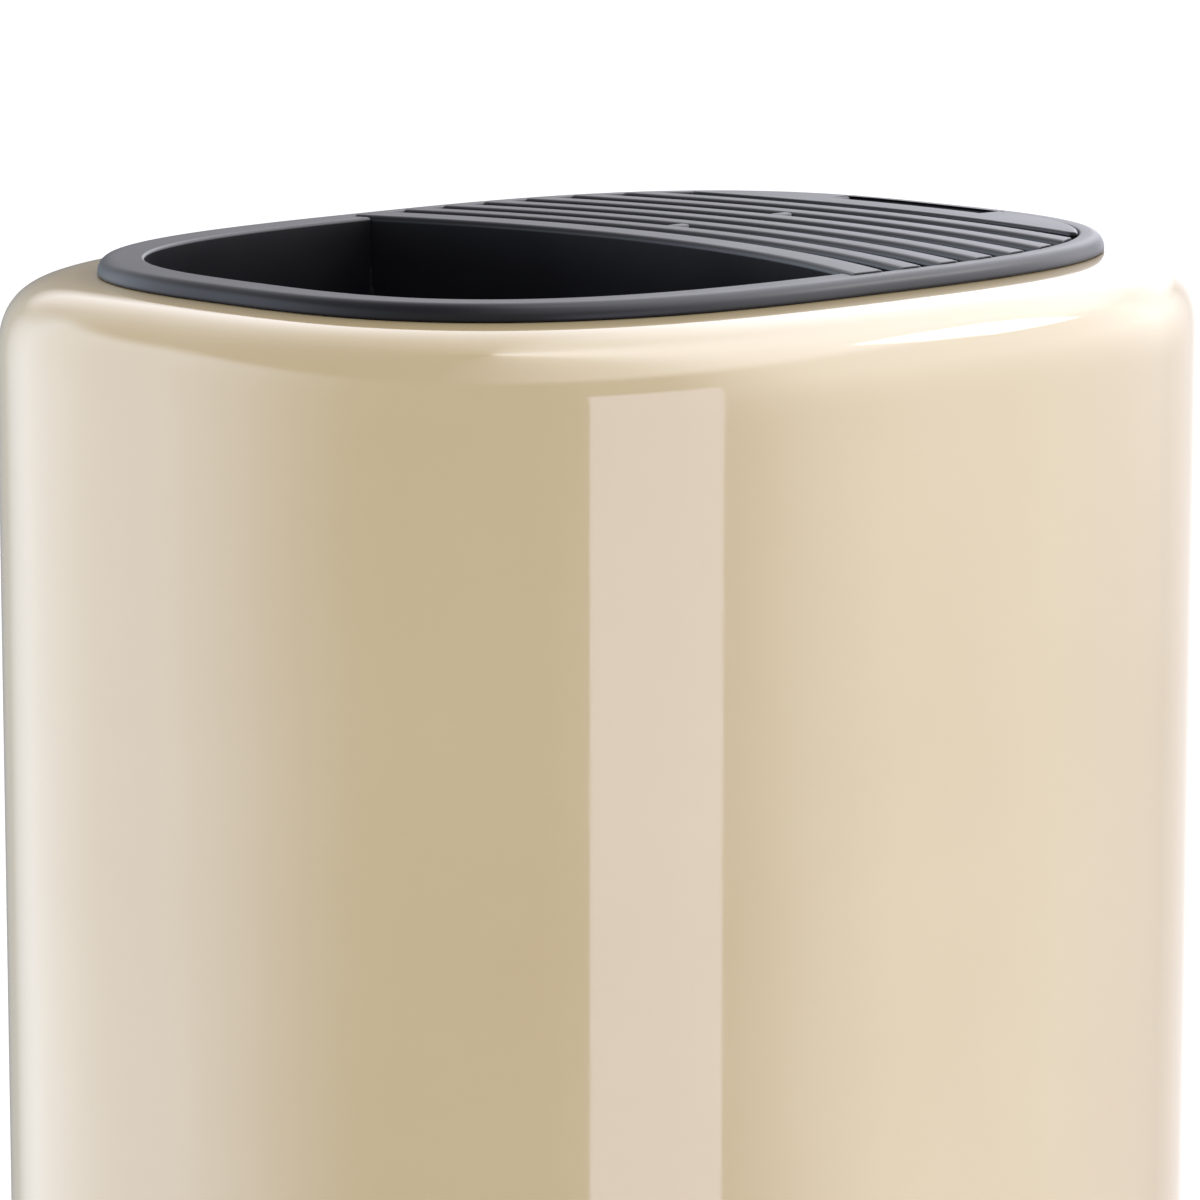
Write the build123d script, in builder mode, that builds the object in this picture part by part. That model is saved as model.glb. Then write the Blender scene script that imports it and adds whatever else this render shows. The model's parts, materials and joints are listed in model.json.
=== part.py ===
"""Knife and utensil holder: an enamelled steel vessel with a lift-out insert.

X runs along the vessel's length, towards the knives. Y runs across it and Z is up.
The origin is at the middle of the footprint, on the surface that the feet stand on.
"""

import os
from math import atan2, cos, degrees, hypot, radians, sin, sqrt

from build123d import *

# Plan of the lip: two long sides, two ends and four corners, all tangent arcs
lip_length = 155.2
lip_width = 116.0
side_radius = 274.0
end_radius = 326.0
corner_radius = 44.4

# Vessel, deep-drawn from steel sheet
shell_height = 223.0
shell_wall = 1.2
shoulder_reach = 15.0
shoulder_radius = 9.0
neck_inset = 2.2
neck_depth = 10.0

# Lip and skirt of the insert
lip_height = 2.9
lip_land = 7.0
lip_outer_radius = 2.2
skirt_clearance = 0.5
skirt_wall = 2.0
skirt_depth = 14.0

# Knife grille
grille_depth = 8.0
grille_rise = 0.2
grille_fit = 0.2
rebate_inset = 4.0
end_frame_width = 3.6
end_frame_drop = 2.5
ledge_reach = 9.0
ledge_thickness = 3.0
divider_radius = 130.0
divider_apex = 8.0
first_rib = 6.5
slot_width = 3.0
slot_pitch = 7.6
slot_count = 7
short_slot_gap = 9.8
short_slot_length = 30.0
short_slot_shift = 2.6
tie_width = 2.4
tie_shift = 9.0
tied_slots = (1, 4)

# Utensil cup
cup_depth = 165.0
cup_wall = 2.1
cup_floor = 2.5
cup_bottom_radius = 3.0
cup_flange_width = 3.7
mat_thickness = 2.0
mat_clearance = 0.5

# Knife bin
bin_inset = 9.5
bin_wall = 1.8
bin_floor = 2.0
bin_clearance = 0.9
bin_top_gap = 2.2

# Soft ring on the skirt
gasket_height = 3.0
gasket_groove_depth = 0.8
gasket_clearance = 0.3
gasket_gap = 0.3

# Base pan, brackets and feet
pan_setback = 0.8
pan_floor = 2.0
pan_fit = 0.25
pan_wall = 2.0
pan_skirt = 14.0
boss_radius = 5.0
boss_height = 6.0
fence_height = 5.0
fence_wall = 1.5
fence_fit = 0.3
bracket_width = 14.0
bracket_reach = 15.0
bracket_leg = 14.0
bracket_sheet = 1.5
bracket_fit = 0.1
bracket_notch = 1.0
foot_height = 2.5
foot_radius = 8.0
foot_chamfer = 0.6
foot_end_inset = 15.6
foot_side_inset = 17.0
stem_radius = 2.9
stem_fit = 0.1
barb_radius = 3.8
barb_height = 2.5

# Screws
base_screw_radius = 1.75
base_screw_head = 3.5
base_screw_sink = 2.6
insert_screw_radius = 1.1
insert_screw_head = 1.8
insert_screw_head_height = 1.6
insert_screw_bite = 4.0
insert_screw_inset = 6.6
hole_clearance = 0.2
screw_angles = (20.0, 70.0)
cup_screw_angle = 12.0

# Heights above the surface that the feet stand on
pan_bottom = foot_height
shell_bottom = pan_bottom + pan_floor
shell_top = shell_bottom + shell_height
crown = shell_top + lip_height
grille_top = crown + grille_rise
grille_bottom = crown - grille_depth
ledge_bottom = grille_bottom - ledge_thickness
cup_inside = crown - cup_depth
cup_bottom = cup_inside - cup_floor
bin_top = ledge_bottom - bin_top_gap
bin_inside = shell_bottom + bin_floor
gasket_bottom = grille_bottom - gasket_clearance - gasket_height

# Insets of the walls from the lip's outer edge
skirt_outside = neck_inset + skirt_clearance
skirt_inside = skirt_outside + skirt_wall
cup_outside = lip_land - cup_wall
end_frame_inside = rebate_inset + grille_fit + end_frame_width
gasket_inside = skirt_outside + gasket_groove_depth

# Arcs of the divider, all about one centre on the utensil side
divider_centre = divider_apex - divider_radius
cup_wall_radius = divider_radius + cup_wall
cup_flange_radius = cup_wall_radius + cup_flange_width
bin_radius = cup_wall_radius + bin_clearance
first_slot = divider_radius + first_rib + slot_width / 2
slot_radii = [first_slot + slot_pitch * i for i in range(slot_count)]
short_slot = slot_radii[-1] + short_slot_gap

# Places of the feet, held in from the lip's outer edge
foot_x = lip_length / 2 - foot_end_inset
foot_y = lip_width / 2 - foot_side_inset

# Centres and angles of the plan's arcs, from their tangency
end_centre = lip_length / 2 - end_radius
side_centre = lip_width / 2 - side_radius
centre_distance = hypot(end_centre, side_centre)
side_reach = side_radius - corner_radius
end_reach = end_radius - corner_radius
along = (side_reach**2 - end_reach**2 + centre_distance**2) / (2 * centre_distance)
across = sqrt(side_reach**2 - along**2)
corner_x = (end_centre * along - side_centre * across) / centre_distance
corner_y = side_centre - (side_centre * along + end_centre * across) / centre_distance
side_angle = degrees(atan2(corner_y - side_centre, corner_x))
end_angle = degrees(atan2(corner_y, corner_x - end_centre))


def outline(grow):
    """Closed line round the plan of the lip, moved outwards by grow."""
    corner_sweep = side_angle - end_angle
    side_sweep = 180 - 2 * side_angle
    with BuildLine() as plan:
        for turn in (0, 180):
            flip = 1 if turn == 0 else -1
            corner = corner_radius + grow
            CenterArc((flip * end_centre, 0), end_radius + grow, turn - end_angle, 2 * end_angle)
            CenterArc((flip * corner_x, flip * corner_y), corner, turn + end_angle, corner_sweep)
            CenterArc((0, flip * side_centre), side_radius + grow, turn + side_angle, side_sweep)
            CenterArc((-flip * corner_x, flip * corner_y), corner, turn + 180 - side_angle, corner_sweep)
    return plan.line


def ring(outer, inner):
    """Plan between the outline moved out by outer and by inner."""
    with BuildSketch() as plan:
        make_face(outline(outer).edges())
        make_face(outline(inner).edges(), mode=Mode.SUBTRACT)
    return plan.sketch


def knife_side(grow, radius):
    """Plan inside the outline moved out by grow and beyond the divider arc of that radius."""
    with BuildSketch() as plan:
        make_face(outline(grow).edges())
        with Locations((divider_centre, 0)):
            Circle(radius, mode=Mode.SUBTRACT)
    return plan.sketch


def utensil_side(grow, radius):
    """Plan inside the outline moved out by grow and within the divider arc of that radius."""
    with BuildSketch() as plan:
        make_face(outline(grow).edges())
        with Locations((divider_centre, 0)):
            Circle(radius, mode=Mode.INTERSECT)
    return plan.sketch


def slot_plan(radius, inset, tied):
    """Plan of one curved knife slot, closed by a tie where tied is true."""
    with BuildSketch() as plan:
        make_face(outline(-inset).edges())
        with Locations((divider_centre, 0)):
            Circle(radius + slot_width / 2, mode=Mode.INTERSECT)
            Circle(radius - slot_width / 2, mode=Mode.SUBTRACT)
        if tied:
            with Locations((divider_centre + radius, tie_shift)):
                Rectangle(2 * slot_width, tie_width, mode=Mode.SUBTRACT)
    return plan.sketch


def short_slot_plan():
    """Plan of the short slot near the far end of the grille."""
    with BuildSketch() as plan:
        add(slot_plan(short_slot, rebate_inset + grille_fit + slot_width / 4, False))
        with Locations((divider_centre + short_slot, short_slot_shift)):
            Rectangle(4 * slot_width, short_slot_length, mode=Mode.INTERSECT)
    return plan.sketch


def ledge_screw_points():
    """Centres of the screws through the rim's ledge, round the two knife-side corners."""
    reach = corner_radius - insert_screw_inset
    points = []
    for angle in screw_angles:
        x = corner_x + reach * cos(radians(angle))
        y = corner_y + reach * sin(radians(angle))
        points += [(x, y), (x, -y)]
    return points


def cup_screw_points():
    """Centres of the two screws through the cup's flange, on its middle line."""
    radius = cup_wall_radius + cup_flange_width / 2
    x = divider_centre + radius * cos(radians(cup_screw_angle))
    y = radius * sin(radians(cup_screw_angle))
    return [(x, y), (x, -y)]


def bracket_frames():
    """Direction and distance of the vessel's inner wall at each base bracket."""
    wall_x = lip_length / 2 + shoulder_reach - shell_wall
    wall_y = lip_width / 2 + shoulder_reach - shell_wall
    return [(0, wall_x), (90, wall_y), (180, wall_x), (270, wall_y)]


def base_screw_points():
    """Centres of the screws that hold the pan to the brackets."""
    inset = bracket_reach - boss_radius
    frames = bracket_frames()
    return [((wall - inset) * cos(radians(a)), (wall - inset) * sin(radians(a))) for a, wall in frames]


# Vessel: one drawn sheet with a soft shoulder, turned down into a neck at the top
with BuildPart() as shell_cavity:
    with BuildSketch(Plane.XY.offset(shell_bottom)):
        make_face(outline(shoulder_reach - shell_wall).edges())
    extrude(amount=shell_height - shell_wall)
    fillet(shell_cavity.edges().group_by(Axis.Z)[-1], shoulder_radius - shell_wall)

with BuildPart() as outer_shell:
    with BuildSketch(Plane.XY.offset(shell_bottom)):
        make_face(outline(shoulder_reach).edges())
    extrude(amount=shell_height)
    fillet(outer_shell.edges().group_by(Axis.Z)[-1], shoulder_radius)
    add(shell_cavity.part, mode=Mode.SUBTRACT)
    with BuildSketch(Plane.XY.offset(shell_top - neck_depth)):
        add(ring(shell_wall - neck_inset, -neck_inset))
    extrude(amount=neck_depth)
    with BuildSketch(Plane.XY.offset(shell_top)):
        make_face(outline(-neck_inset).edges())
    extrude(amount=-neck_depth, mode=Mode.SUBTRACT)
outer_shell.part.label = "outer_shell"

# Base pan: a floor with a skirt inside the wall, bosses for its screws and a fence for the bin
with BuildPart() as base_pan:
    with BuildSketch(Plane.XY.offset(pan_bottom)):
        make_face(outline(shoulder_reach - pan_setback).edges())
    extrude(amount=pan_floor)
    skirt_edge = shoulder_reach - shell_wall - pan_fit
    with BuildSketch(Plane.XY.offset(shell_bottom)):
        add(ring(skirt_edge, skirt_edge - pan_wall))
    extrude(amount=pan_skirt)
    with BuildSketch(Plane.XY.offset(shell_bottom)):
        fence_line = fence_fit - bin_inset
        add(knife_side(fence_line + fence_wall, bin_radius - fence_fit - fence_wall))
        add(knife_side(fence_line, bin_radius - fence_fit), mode=Mode.SUBTRACT)
    extrude(amount=fence_height)
    with BuildSketch(Plane.XY.offset(shell_bottom)):
        for angle, wall in bracket_frames():
            with Locations(Location((0, 0, 0), (0, 0, angle))):
                with Locations((wall, 0)):
                    Rectangle(2 * bracket_notch + 4 * pan_wall, bracket_width + 2 * bracket_notch)
    extrude(amount=pan_skirt, mode=Mode.SUBTRACT)
    with BuildSketch(Plane.XY.offset(shell_bottom)):
        with Locations(*base_screw_points()):
            Circle(boss_radius)
    extrude(amount=boss_height)
    with BuildSketch(Plane.XY.offset(pan_bottom)):
        with Locations(*base_screw_points()):
            Circle(base_screw_head + hole_clearance)
    extrude(amount=base_screw_sink + pan_floor, mode=Mode.SUBTRACT)
    with BuildSketch(Plane.XY.offset(pan_bottom)):
        with Locations(*base_screw_points()):
            Circle(base_screw_radius + hole_clearance)
    extrude(amount=pan_floor + boss_height, mode=Mode.SUBTRACT)
    with BuildSketch(Plane.XY.offset(pan_bottom)):
        with GridLocations(2 * foot_x, 2 * foot_y, 2, 2):
            Circle(stem_radius + stem_fit)
    extrude(amount=pan_floor, mode=Mode.SUBTRACT)
base_pan.part.label = "base_pan"

# Brackets: steel angles against the inside of the vessel's wall, above the pan's bosses
bracket_bottom = shell_bottom + boss_height
with BuildPart() as base_brackets:
    for angle, wall in bracket_frames():
        outer = wall - bracket_fit
        with Locations(Location((0, 0, bracket_bottom), (0, 0, angle))):
            with Locations((outer, 0, 0)):
                Box(bracket_reach, bracket_width, bracket_sheet, align=(Align.MAX, Align.CENTER, Align.MIN))
                Box(bracket_sheet, bracket_width, bracket_leg, align=(Align.MAX, Align.CENTER, Align.MIN))
    with BuildSketch(Plane.XY.offset(bracket_bottom)):
        with Locations(*base_screw_points()):
            Circle(base_screw_radius)
    extrude(amount=bracket_sheet, mode=Mode.SUBTRACT)
base_brackets.part.label = "base_brackets"

with BuildPart() as base_screws:
    with BuildSketch(Plane.XY.offset(pan_bottom + pan_floor)):
        with Locations(*base_screw_points()):
            Circle(base_screw_head)
    extrude(amount=base_screw_sink)
    with BuildSketch(Plane.XY.offset(pan_bottom + pan_floor + base_screw_sink)):
        with Locations(*base_screw_points()):
            Circle(base_screw_radius)
    extrude(amount=boss_height - base_screw_sink + bracket_sheet)
base_screws.part.label = "base_screws"

# Feet: soft discs with a stem that pushes through the pan
feet = {
    "foot_front_left": (-foot_x, -foot_y),
    "foot_front_right": (foot_x, -foot_y),
    "foot_back_left": (-foot_x, foot_y),
    "foot_back_right": (foot_x, foot_y),
}
foot_parts = {}
for foot_name, place in feet.items():
    with BuildPart() as foot:
        with BuildSketch():
            with Locations(place):
                Circle(foot_radius)
        extrude(amount=foot_height)
        chamfer(foot.edges().group_by(Axis.Z)[0], foot_chamfer)
        with BuildSketch(Plane.XY.offset(foot_height)):
            with Locations(place):
                Circle(stem_radius)
        extrude(amount=pan_floor)
        with Locations((place[0], place[1], shell_bottom)):
            Cone(barb_radius, stem_radius, barb_height, align=(Align.CENTER, Align.CENTER, Align.MIN))
    foot.part.label = foot_name
    foot_parts[foot_name] = foot.part

# Knife bin: a thin liner that stands on the pan inside its fence
with BuildPart() as knife_bin:
    with BuildSketch(Plane.XY.offset(shell_bottom)):
        add(knife_side(-bin_inset, bin_radius))
    extrude(amount=bin_top - shell_bottom)
    with BuildSketch(Plane.XY.offset(bin_inside)):
        add(knife_side(-bin_inset - bin_wall, bin_radius + bin_wall))
    extrude(amount=bin_top - bin_inside, mode=Mode.SUBTRACT)
knife_bin.part.label = "knife_bin"

with BuildPart() as tip_mat:
    with BuildSketch(Plane.XY.offset(bin_inside)):
        add(knife_side(-bin_inset - bin_wall - mat_clearance, bin_radius + bin_wall + mat_clearance))
    extrude(amount=mat_thickness)
tip_mat.part.label = "tip_mat"

# Rim: the raised lip, the skirt that enters the neck and the ledge under the grille
with BuildPart() as insert_rim:
    with BuildSketch(Plane.XY.offset(shell_top)):
        make_face(outline(0).edges())
    extrude(amount=lip_height)
    fillet(insert_rim.edges().group_by(Axis.Z)[-1], lip_outer_radius)
    with BuildSketch(Plane.XY.offset(shell_top)):
        make_face(outline(-lip_land).edges())
    extrude(amount=lip_height, mode=Mode.SUBTRACT)
    with BuildSketch(Plane.XY.offset(shell_top - skirt_depth)):
        add(ring(-skirt_outside, -skirt_inside))
    extrude(amount=skirt_depth)
    with BuildSketch(Plane.XY.offset(grille_bottom)):
        add(knife_side(-rebate_inset, divider_radius - grille_fit))
    extrude(amount=grille_depth, mode=Mode.SUBTRACT)
    with BuildSketch(Plane.XY.offset(ledge_bottom)):
        add(knife_side(-skirt_outside, cup_flange_radius + grille_fit))
        make_face(outline(-ledge_reach).edges(), mode=Mode.SUBTRACT)
    extrude(amount=ledge_thickness)
    with BuildSketch(Plane.XY.offset(gasket_bottom)):
        add(ring(-neck_inset, -gasket_inside))
    extrude(amount=gasket_height, mode=Mode.SUBTRACT)
    with BuildSketch(Plane.XY.offset(ledge_bottom)):
        with Locations(*ledge_screw_points()):
            Circle(insert_screw_radius + hole_clearance)
    extrude(amount=ledge_thickness, mode=Mode.SUBTRACT)
insert_rim.part.label = "insert_rim"

with BuildPart() as rim_gasket:
    with BuildSketch(Plane.XY.offset(gasket_bottom)):
        add(ring(-neck_inset - gasket_gap, -gasket_inside))
    extrude(amount=gasket_height)
rim_gasket.part.label = "rim_gasket"

# Grille: curved ribs joined by a lower frame at their ends
with BuildPart() as knife_grille:
    with BuildSketch(Plane.XY.offset(grille_bottom)):
        add(knife_side(-rebate_inset - grille_fit, divider_radius))
    extrude(amount=grille_top - grille_bottom)
    with BuildSketch(Plane.XY.offset(grille_bottom)):
        for index, radius in enumerate(slot_radii):
            add(slot_plan(radius, end_frame_inside, index in tied_slots))
        add(short_slot_plan())
    extrude(amount=grille_top - grille_bottom, mode=Mode.SUBTRACT)
    with BuildSketch(Plane.XY.offset(grille_top - end_frame_drop)):
        for index, radius in enumerate(slot_radii):
            add(slot_plan(radius, 0, index in tied_slots))
    extrude(amount=end_frame_drop, mode=Mode.SUBTRACT)
    with BuildSketch(Plane.XY.offset(grille_bottom)):
        with Locations(*ledge_screw_points(), *cup_screw_points()):
            Circle(insert_screw_radius)
    extrude(amount=insert_screw_bite, mode=Mode.SUBTRACT)
knife_grille.part.label = "knife_grille"

# Cup: its outer wall meets the rim, its curved wall carries the first rib on a flange
with BuildPart() as cup_block:
    with BuildSketch(Plane.XY.offset(cup_bottom)):
        add(utensil_side(-cup_outside, cup_wall_radius))
    extrude(amount=grille_bottom - cup_bottom)
    fillet(cup_block.edges().group_by(Axis.Z)[0], cup_bottom_radius)

with BuildPart() as cup_cavity:
    with BuildSketch(Plane.XY.offset(cup_inside)):
        add(utensil_side(-lip_land, divider_radius))
    extrude(amount=shell_top - cup_inside)
    fillet(cup_cavity.edges().group_by(Axis.Z)[0], cup_bottom_radius)

with BuildPart() as utensil_cup:
    add(cup_block.part)
    with BuildSketch(Plane.XY.offset(grille_bottom)):
        add(utensil_side(-cup_outside, divider_radius - grille_fit))
    extrude(amount=shell_top - grille_bottom)
    with BuildSketch(Plane.XY.offset(ledge_bottom)):
        add(utensil_side(-cup_outside, cup_flange_radius))
        add(utensil_side(-cup_outside, divider_radius + cup_wall / 2), mode=Mode.SUBTRACT)
    extrude(amount=ledge_thickness)
    add(cup_cavity.part, mode=Mode.SUBTRACT)
    with BuildSketch(Plane.XY.offset(ledge_bottom)):
        with Locations(*cup_screw_points()):
            Circle(insert_screw_radius + hole_clearance)
    extrude(amount=ledge_thickness, mode=Mode.SUBTRACT)
utensil_cup.part.label = "utensil_cup"

with BuildPart() as utensil_mat:
    inset = lip_land + cup_bottom_radius + mat_clearance
    with BuildSketch(Plane.XY.offset(cup_inside)):
        add(utensil_side(-inset, divider_radius - cup_bottom_radius - mat_clearance))
    extrude(amount=mat_thickness)
utensil_mat.part.label = "utensil_mat"

with BuildPart() as insert_screws:
    with BuildSketch(Plane.XY.offset(ledge_bottom - insert_screw_head_height)):
        with Locations(*ledge_screw_points(), *cup_screw_points()):
            Circle(insert_screw_head)
    extrude(amount=insert_screw_head_height)
    with BuildSketch(Plane.XY.offset(ledge_bottom)):
        with Locations(*ledge_screw_points(), *cup_screw_points()):
            Circle(insert_screw_radius)
    extrude(amount=ledge_thickness + insert_screw_bite)
insert_screws.part.label = "insert_screws"

os.makedirs("parts", exist_ok=True)
named_parts = [
    outer_shell.part,
    base_pan.part,
    base_brackets.part,
    base_screws.part,
    knife_bin.part,
    tip_mat.part,
    insert_rim.part,
    rim_gasket.part,
    knife_grille.part,
    utensil_cup.part,
    utensil_mat.part,
    insert_screws.part,
    *foot_parts.values(),
]
for part in named_parts:
    export_step(part, f"parts/{part.label}.step")
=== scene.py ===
"""Knife and utensil holder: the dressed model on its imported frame.

Sizes in the classes are in millimetres, and every mesh is made in metres. X runs along the
vessel's length towards the knives, Y across it and Z up from the surface it stands on.
"""

import json
import logging
import math
from dataclasses import dataclass, field
from enum import Enum
from functools import lru_cache
from typing import Any, Optional, Sequence

import bmesh
import bpy
import numpy as np
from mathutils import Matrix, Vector
from mathutils.geometry import tessellate_polygon

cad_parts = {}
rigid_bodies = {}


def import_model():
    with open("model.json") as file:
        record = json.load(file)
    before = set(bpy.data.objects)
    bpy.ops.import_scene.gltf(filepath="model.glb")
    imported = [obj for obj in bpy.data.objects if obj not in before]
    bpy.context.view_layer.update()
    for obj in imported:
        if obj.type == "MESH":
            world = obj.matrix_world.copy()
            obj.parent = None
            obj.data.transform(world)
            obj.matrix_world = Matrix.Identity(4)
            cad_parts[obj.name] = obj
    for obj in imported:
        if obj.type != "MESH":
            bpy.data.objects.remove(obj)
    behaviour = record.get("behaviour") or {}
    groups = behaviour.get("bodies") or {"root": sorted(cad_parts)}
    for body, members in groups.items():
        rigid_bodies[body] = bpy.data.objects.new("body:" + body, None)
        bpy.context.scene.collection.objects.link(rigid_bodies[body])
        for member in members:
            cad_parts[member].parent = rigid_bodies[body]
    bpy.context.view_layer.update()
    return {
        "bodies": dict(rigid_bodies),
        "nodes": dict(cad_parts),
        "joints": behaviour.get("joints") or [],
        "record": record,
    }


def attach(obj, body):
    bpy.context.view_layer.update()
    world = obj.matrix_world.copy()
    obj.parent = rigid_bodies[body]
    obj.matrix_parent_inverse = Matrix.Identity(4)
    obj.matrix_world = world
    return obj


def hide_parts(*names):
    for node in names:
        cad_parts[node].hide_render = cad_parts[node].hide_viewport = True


logging.basicConfig(level=logging.INFO, format="%(levelname)s %(name)s: %(message)s")
LOG = logging.getLogger("holder")

MM = 0.001
SHARP_ANGLE = 38.0
STEEP_ANGLE = 60.0
Section = Sequence[tuple[float, float]]


class Side(Enum):
    """Side of the divider on which a swept piece lies."""

    KNIFE = "knife"
    UTENSIL = "utensil"
    ALL_ROUND = "all round"


class Slot(str, Enum):
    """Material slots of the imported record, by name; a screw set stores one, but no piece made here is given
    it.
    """

    ENAMEL = "enamel"
    SCREW = "screw_steel"
    MAT = "mat_rubber"
    GASKET = "gasket_rubber"
    INSERT = "insert_plastic"
    FOOT = "foot_rubber"


# Node and colour helpers


def linear(hex_colour: str) -> tuple[float, float, float, float]:
    """Turns an sRGB hex colour to linear RGBA.

    Args:
        hex_colour: colour such as "#d4c09a".

    Returns:
        Linear red, green, blue and an alpha of 1.
    """
    parts = [int(hex_colour[i : i + 2], 16) / 255 for i in (1, 3, 5)]
    red, green, blue = [p / 12.92 if p <= 0.04045 else ((p + 0.055) / 1.055) ** 2.4 for p in parts]
    return red, green, blue, 1.0


def node(tree: bpy.types.NodeTree, kind: str, inputs: Optional[dict] = None, **settings: Any) -> Any:
    """Adds one node with its settings, values and links.

    Args:
        tree: tree that takes the node.
        kind: node type to add.
        inputs: value or output socket for each input, by its name or index.
        **settings: attributes of the node.

    Returns:
        The new node.
    """
    made = tree.nodes.new(kind)
    for name, value in settings.items():
        setattr(made, name, value)
    for key, value in (inputs or {}).items():
        if isinstance(value, bpy.types.NodeSocket):
            tree.links.new(value, made.inputs[key])
        else:
            made.inputs[key].default_value = value
    return made


def ramp(made: bpy.types.Node, stops: Sequence[tuple[float, tuple]]) -> bpy.types.Node:
    """Sets the stops of a colour ramp node.

    Args:
        made: colour ramp node.
        stops: position and linear RGBA of each stop, in order.

    Returns:
        The same node.
    """
    elements = made.color_ramp.elements
    while len(elements) > 1:
        elements.remove(elements[-1])
    for index, (place, colour) in enumerate(stops):
        element = elements[0] if index == 0 else elements.new(place)
        element.position = place
        element.color = colour
    return made


def sine(degrees: float) -> float:
    """Sine of an angle in degrees, as rays give their height."""
    return math.sin(math.radians(degrees))


def start_material(name: str) -> tuple[bpy.types.Material, bpy.types.NodeTree, bpy.types.Node,
                                       bpy.types.NodeSocket]:
    """Starts a material.

    Args:
        name: name of the material.

    Returns:
        The material, its tree, its shader and the socket of the object's coordinates.
    """
    material = bpy.data.materials.new(name)
    material.use_nodes = True
    tree = material.node_tree
    return material, tree, tree.nodes["Principled BSDF"], node(tree, "ShaderNodeTexCoord").outputs["Object"]


# Finishes


@dataclass(frozen=True)
class GlossEnamel:
    """Cream vitreous enamel on drawn steel, dipped and fired.

    Fired glass gives sharp reflections that waver slightly, over a colour that drifts with the
    thickness of the coat and darkens where it thins on the hemmed bottom edge.
    """

    name: str = "vitreous_enamel_fired"
    colour: str = "#d6c39e"
    thin_colour: str = "#cfba92"
    edge_colour: str = "#8f7a55"
    cloud_mm: float = 38.0
    peel_mm: float = 3.2
    peel_depth_mm: float = 0.0035
    roughness: float = 0.045

    def build(self) -> bpy.types.Material:
        """Makes the material."""
        material, tree, shader, place = start_material(self.name)
        cloud = node(
            tree, "ShaderNodeTexNoise", {"Vector": place, "Scale": 1 / (self.cloud_mm * MM), "Detail": 3.0}
        )
        coat = node(
            tree, "ShaderNodeMix",
            {0: cloud.outputs["Fac"], 6: linear(self.colour), 7: linear(self.thin_colour)}, data_type="RGBA",
        )
        height = node(tree, "ShaderNodeSeparateXYZ", {0: place})
        edge = node(
            tree, "ShaderNodeMapRange", {0: height.outputs["Z"], 1: 4.5 * MM, 2: 5.6 * MM, 3: 0.55, 4: 0.0},
            interpolation_type="SMOOTHSTEP",
        )
        colour = node(
            tree, "ShaderNodeMix", {0: edge.outputs[0], 6: coat.outputs[2], 7: linear(self.edge_colour)},
            data_type="RGBA",
        )
        tree.links.new(colour.outputs[2], shader.inputs["Base Color"])
        haze = node(tree, "ShaderNodeTexNoise", {"Vector": place, "Scale": 1 / (11 * MM), "Detail": 4.0})
        rough = node(
            tree, "ShaderNodeMapRange",
            {0: haze.outputs["Fac"], 1: 0.3, 2: 0.75, 3: self.roughness, 4: self.roughness * 1.7},
        )
        tree.links.new(rough.outputs[0], shader.inputs["Roughness"])
        peel = node(
            tree, "ShaderNodeTexNoise", {"Vector": place, "Scale": 1 / (self.peel_mm * MM), "Detail": 1.5}
        )
        bump = node(
            tree, "ShaderNodeBump",
            {"Height": peel.outputs["Fac"], "Strength": 1.0, "Distance": self.peel_depth_mm * MM},
        )
        tree.links.new(bump.outputs["Normal"], shader.inputs["Normal"])
        shader.inputs["IOR"].default_value = 1.5
        return material


@dataclass(frozen=True)
class MouldedPlastic:
    """Injection-moulded black plastic from a spark-eroded mould.

    The mould leaves a fine even grain, so the plastic is satin: it greys at grazing angles and
    shows soft highlights. The grain is coarser than the real 0.1 mm, which would not show.
    """

    name: str
    colour: str
    worn_colour: str
    roughness: float = 0.4
    grain_mm: float = 0.45
    grain_depth_mm: float = 0.006
    flow_mm: float = 26.0
    sheen: float = 0.5

    def build(self) -> bpy.types.Material:
        """Makes the material."""
        material, tree, shader, place = start_material(self.name)
        flow = node(
            tree, "ShaderNodeTexNoise", {"Vector": place, "Scale": 1 / (self.flow_mm * MM), "Detail": 3.0}
        )
        colour = node(
            tree, "ShaderNodeMix",
            {0: flow.outputs["Fac"], 6: linear(self.colour), 7: linear(self.worn_colour)}, data_type="RGBA",
        )
        tree.links.new(colour.outputs[2], shader.inputs["Base Color"])
        rough = node(
            tree, "ShaderNodeMapRange",
            {0: flow.outputs["Fac"], 1: 0.3, 2: 0.7, 3: self.roughness * 0.93, 4: self.roughness * 1.08},
        )
        tree.links.new(rough.outputs[0], shader.inputs["Roughness"])
        grain = node(
            tree, "ShaderNodeTexNoise", {"Vector": place, "Scale": 1 / (self.grain_mm * MM), "Detail": 2.0}
        )
        bump = node(
            tree, "ShaderNodeBump",
            {"Height": grain.outputs["Fac"], "Strength": 0.6, "Distance": self.grain_depth_mm * MM},
        )
        tree.links.new(bump.outputs["Normal"], shader.inputs["Normal"])
        shader.inputs["IOR"].default_value = 1.49
        shader.inputs["Specular IOR Level"].default_value = self.sheen
        return material


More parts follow.
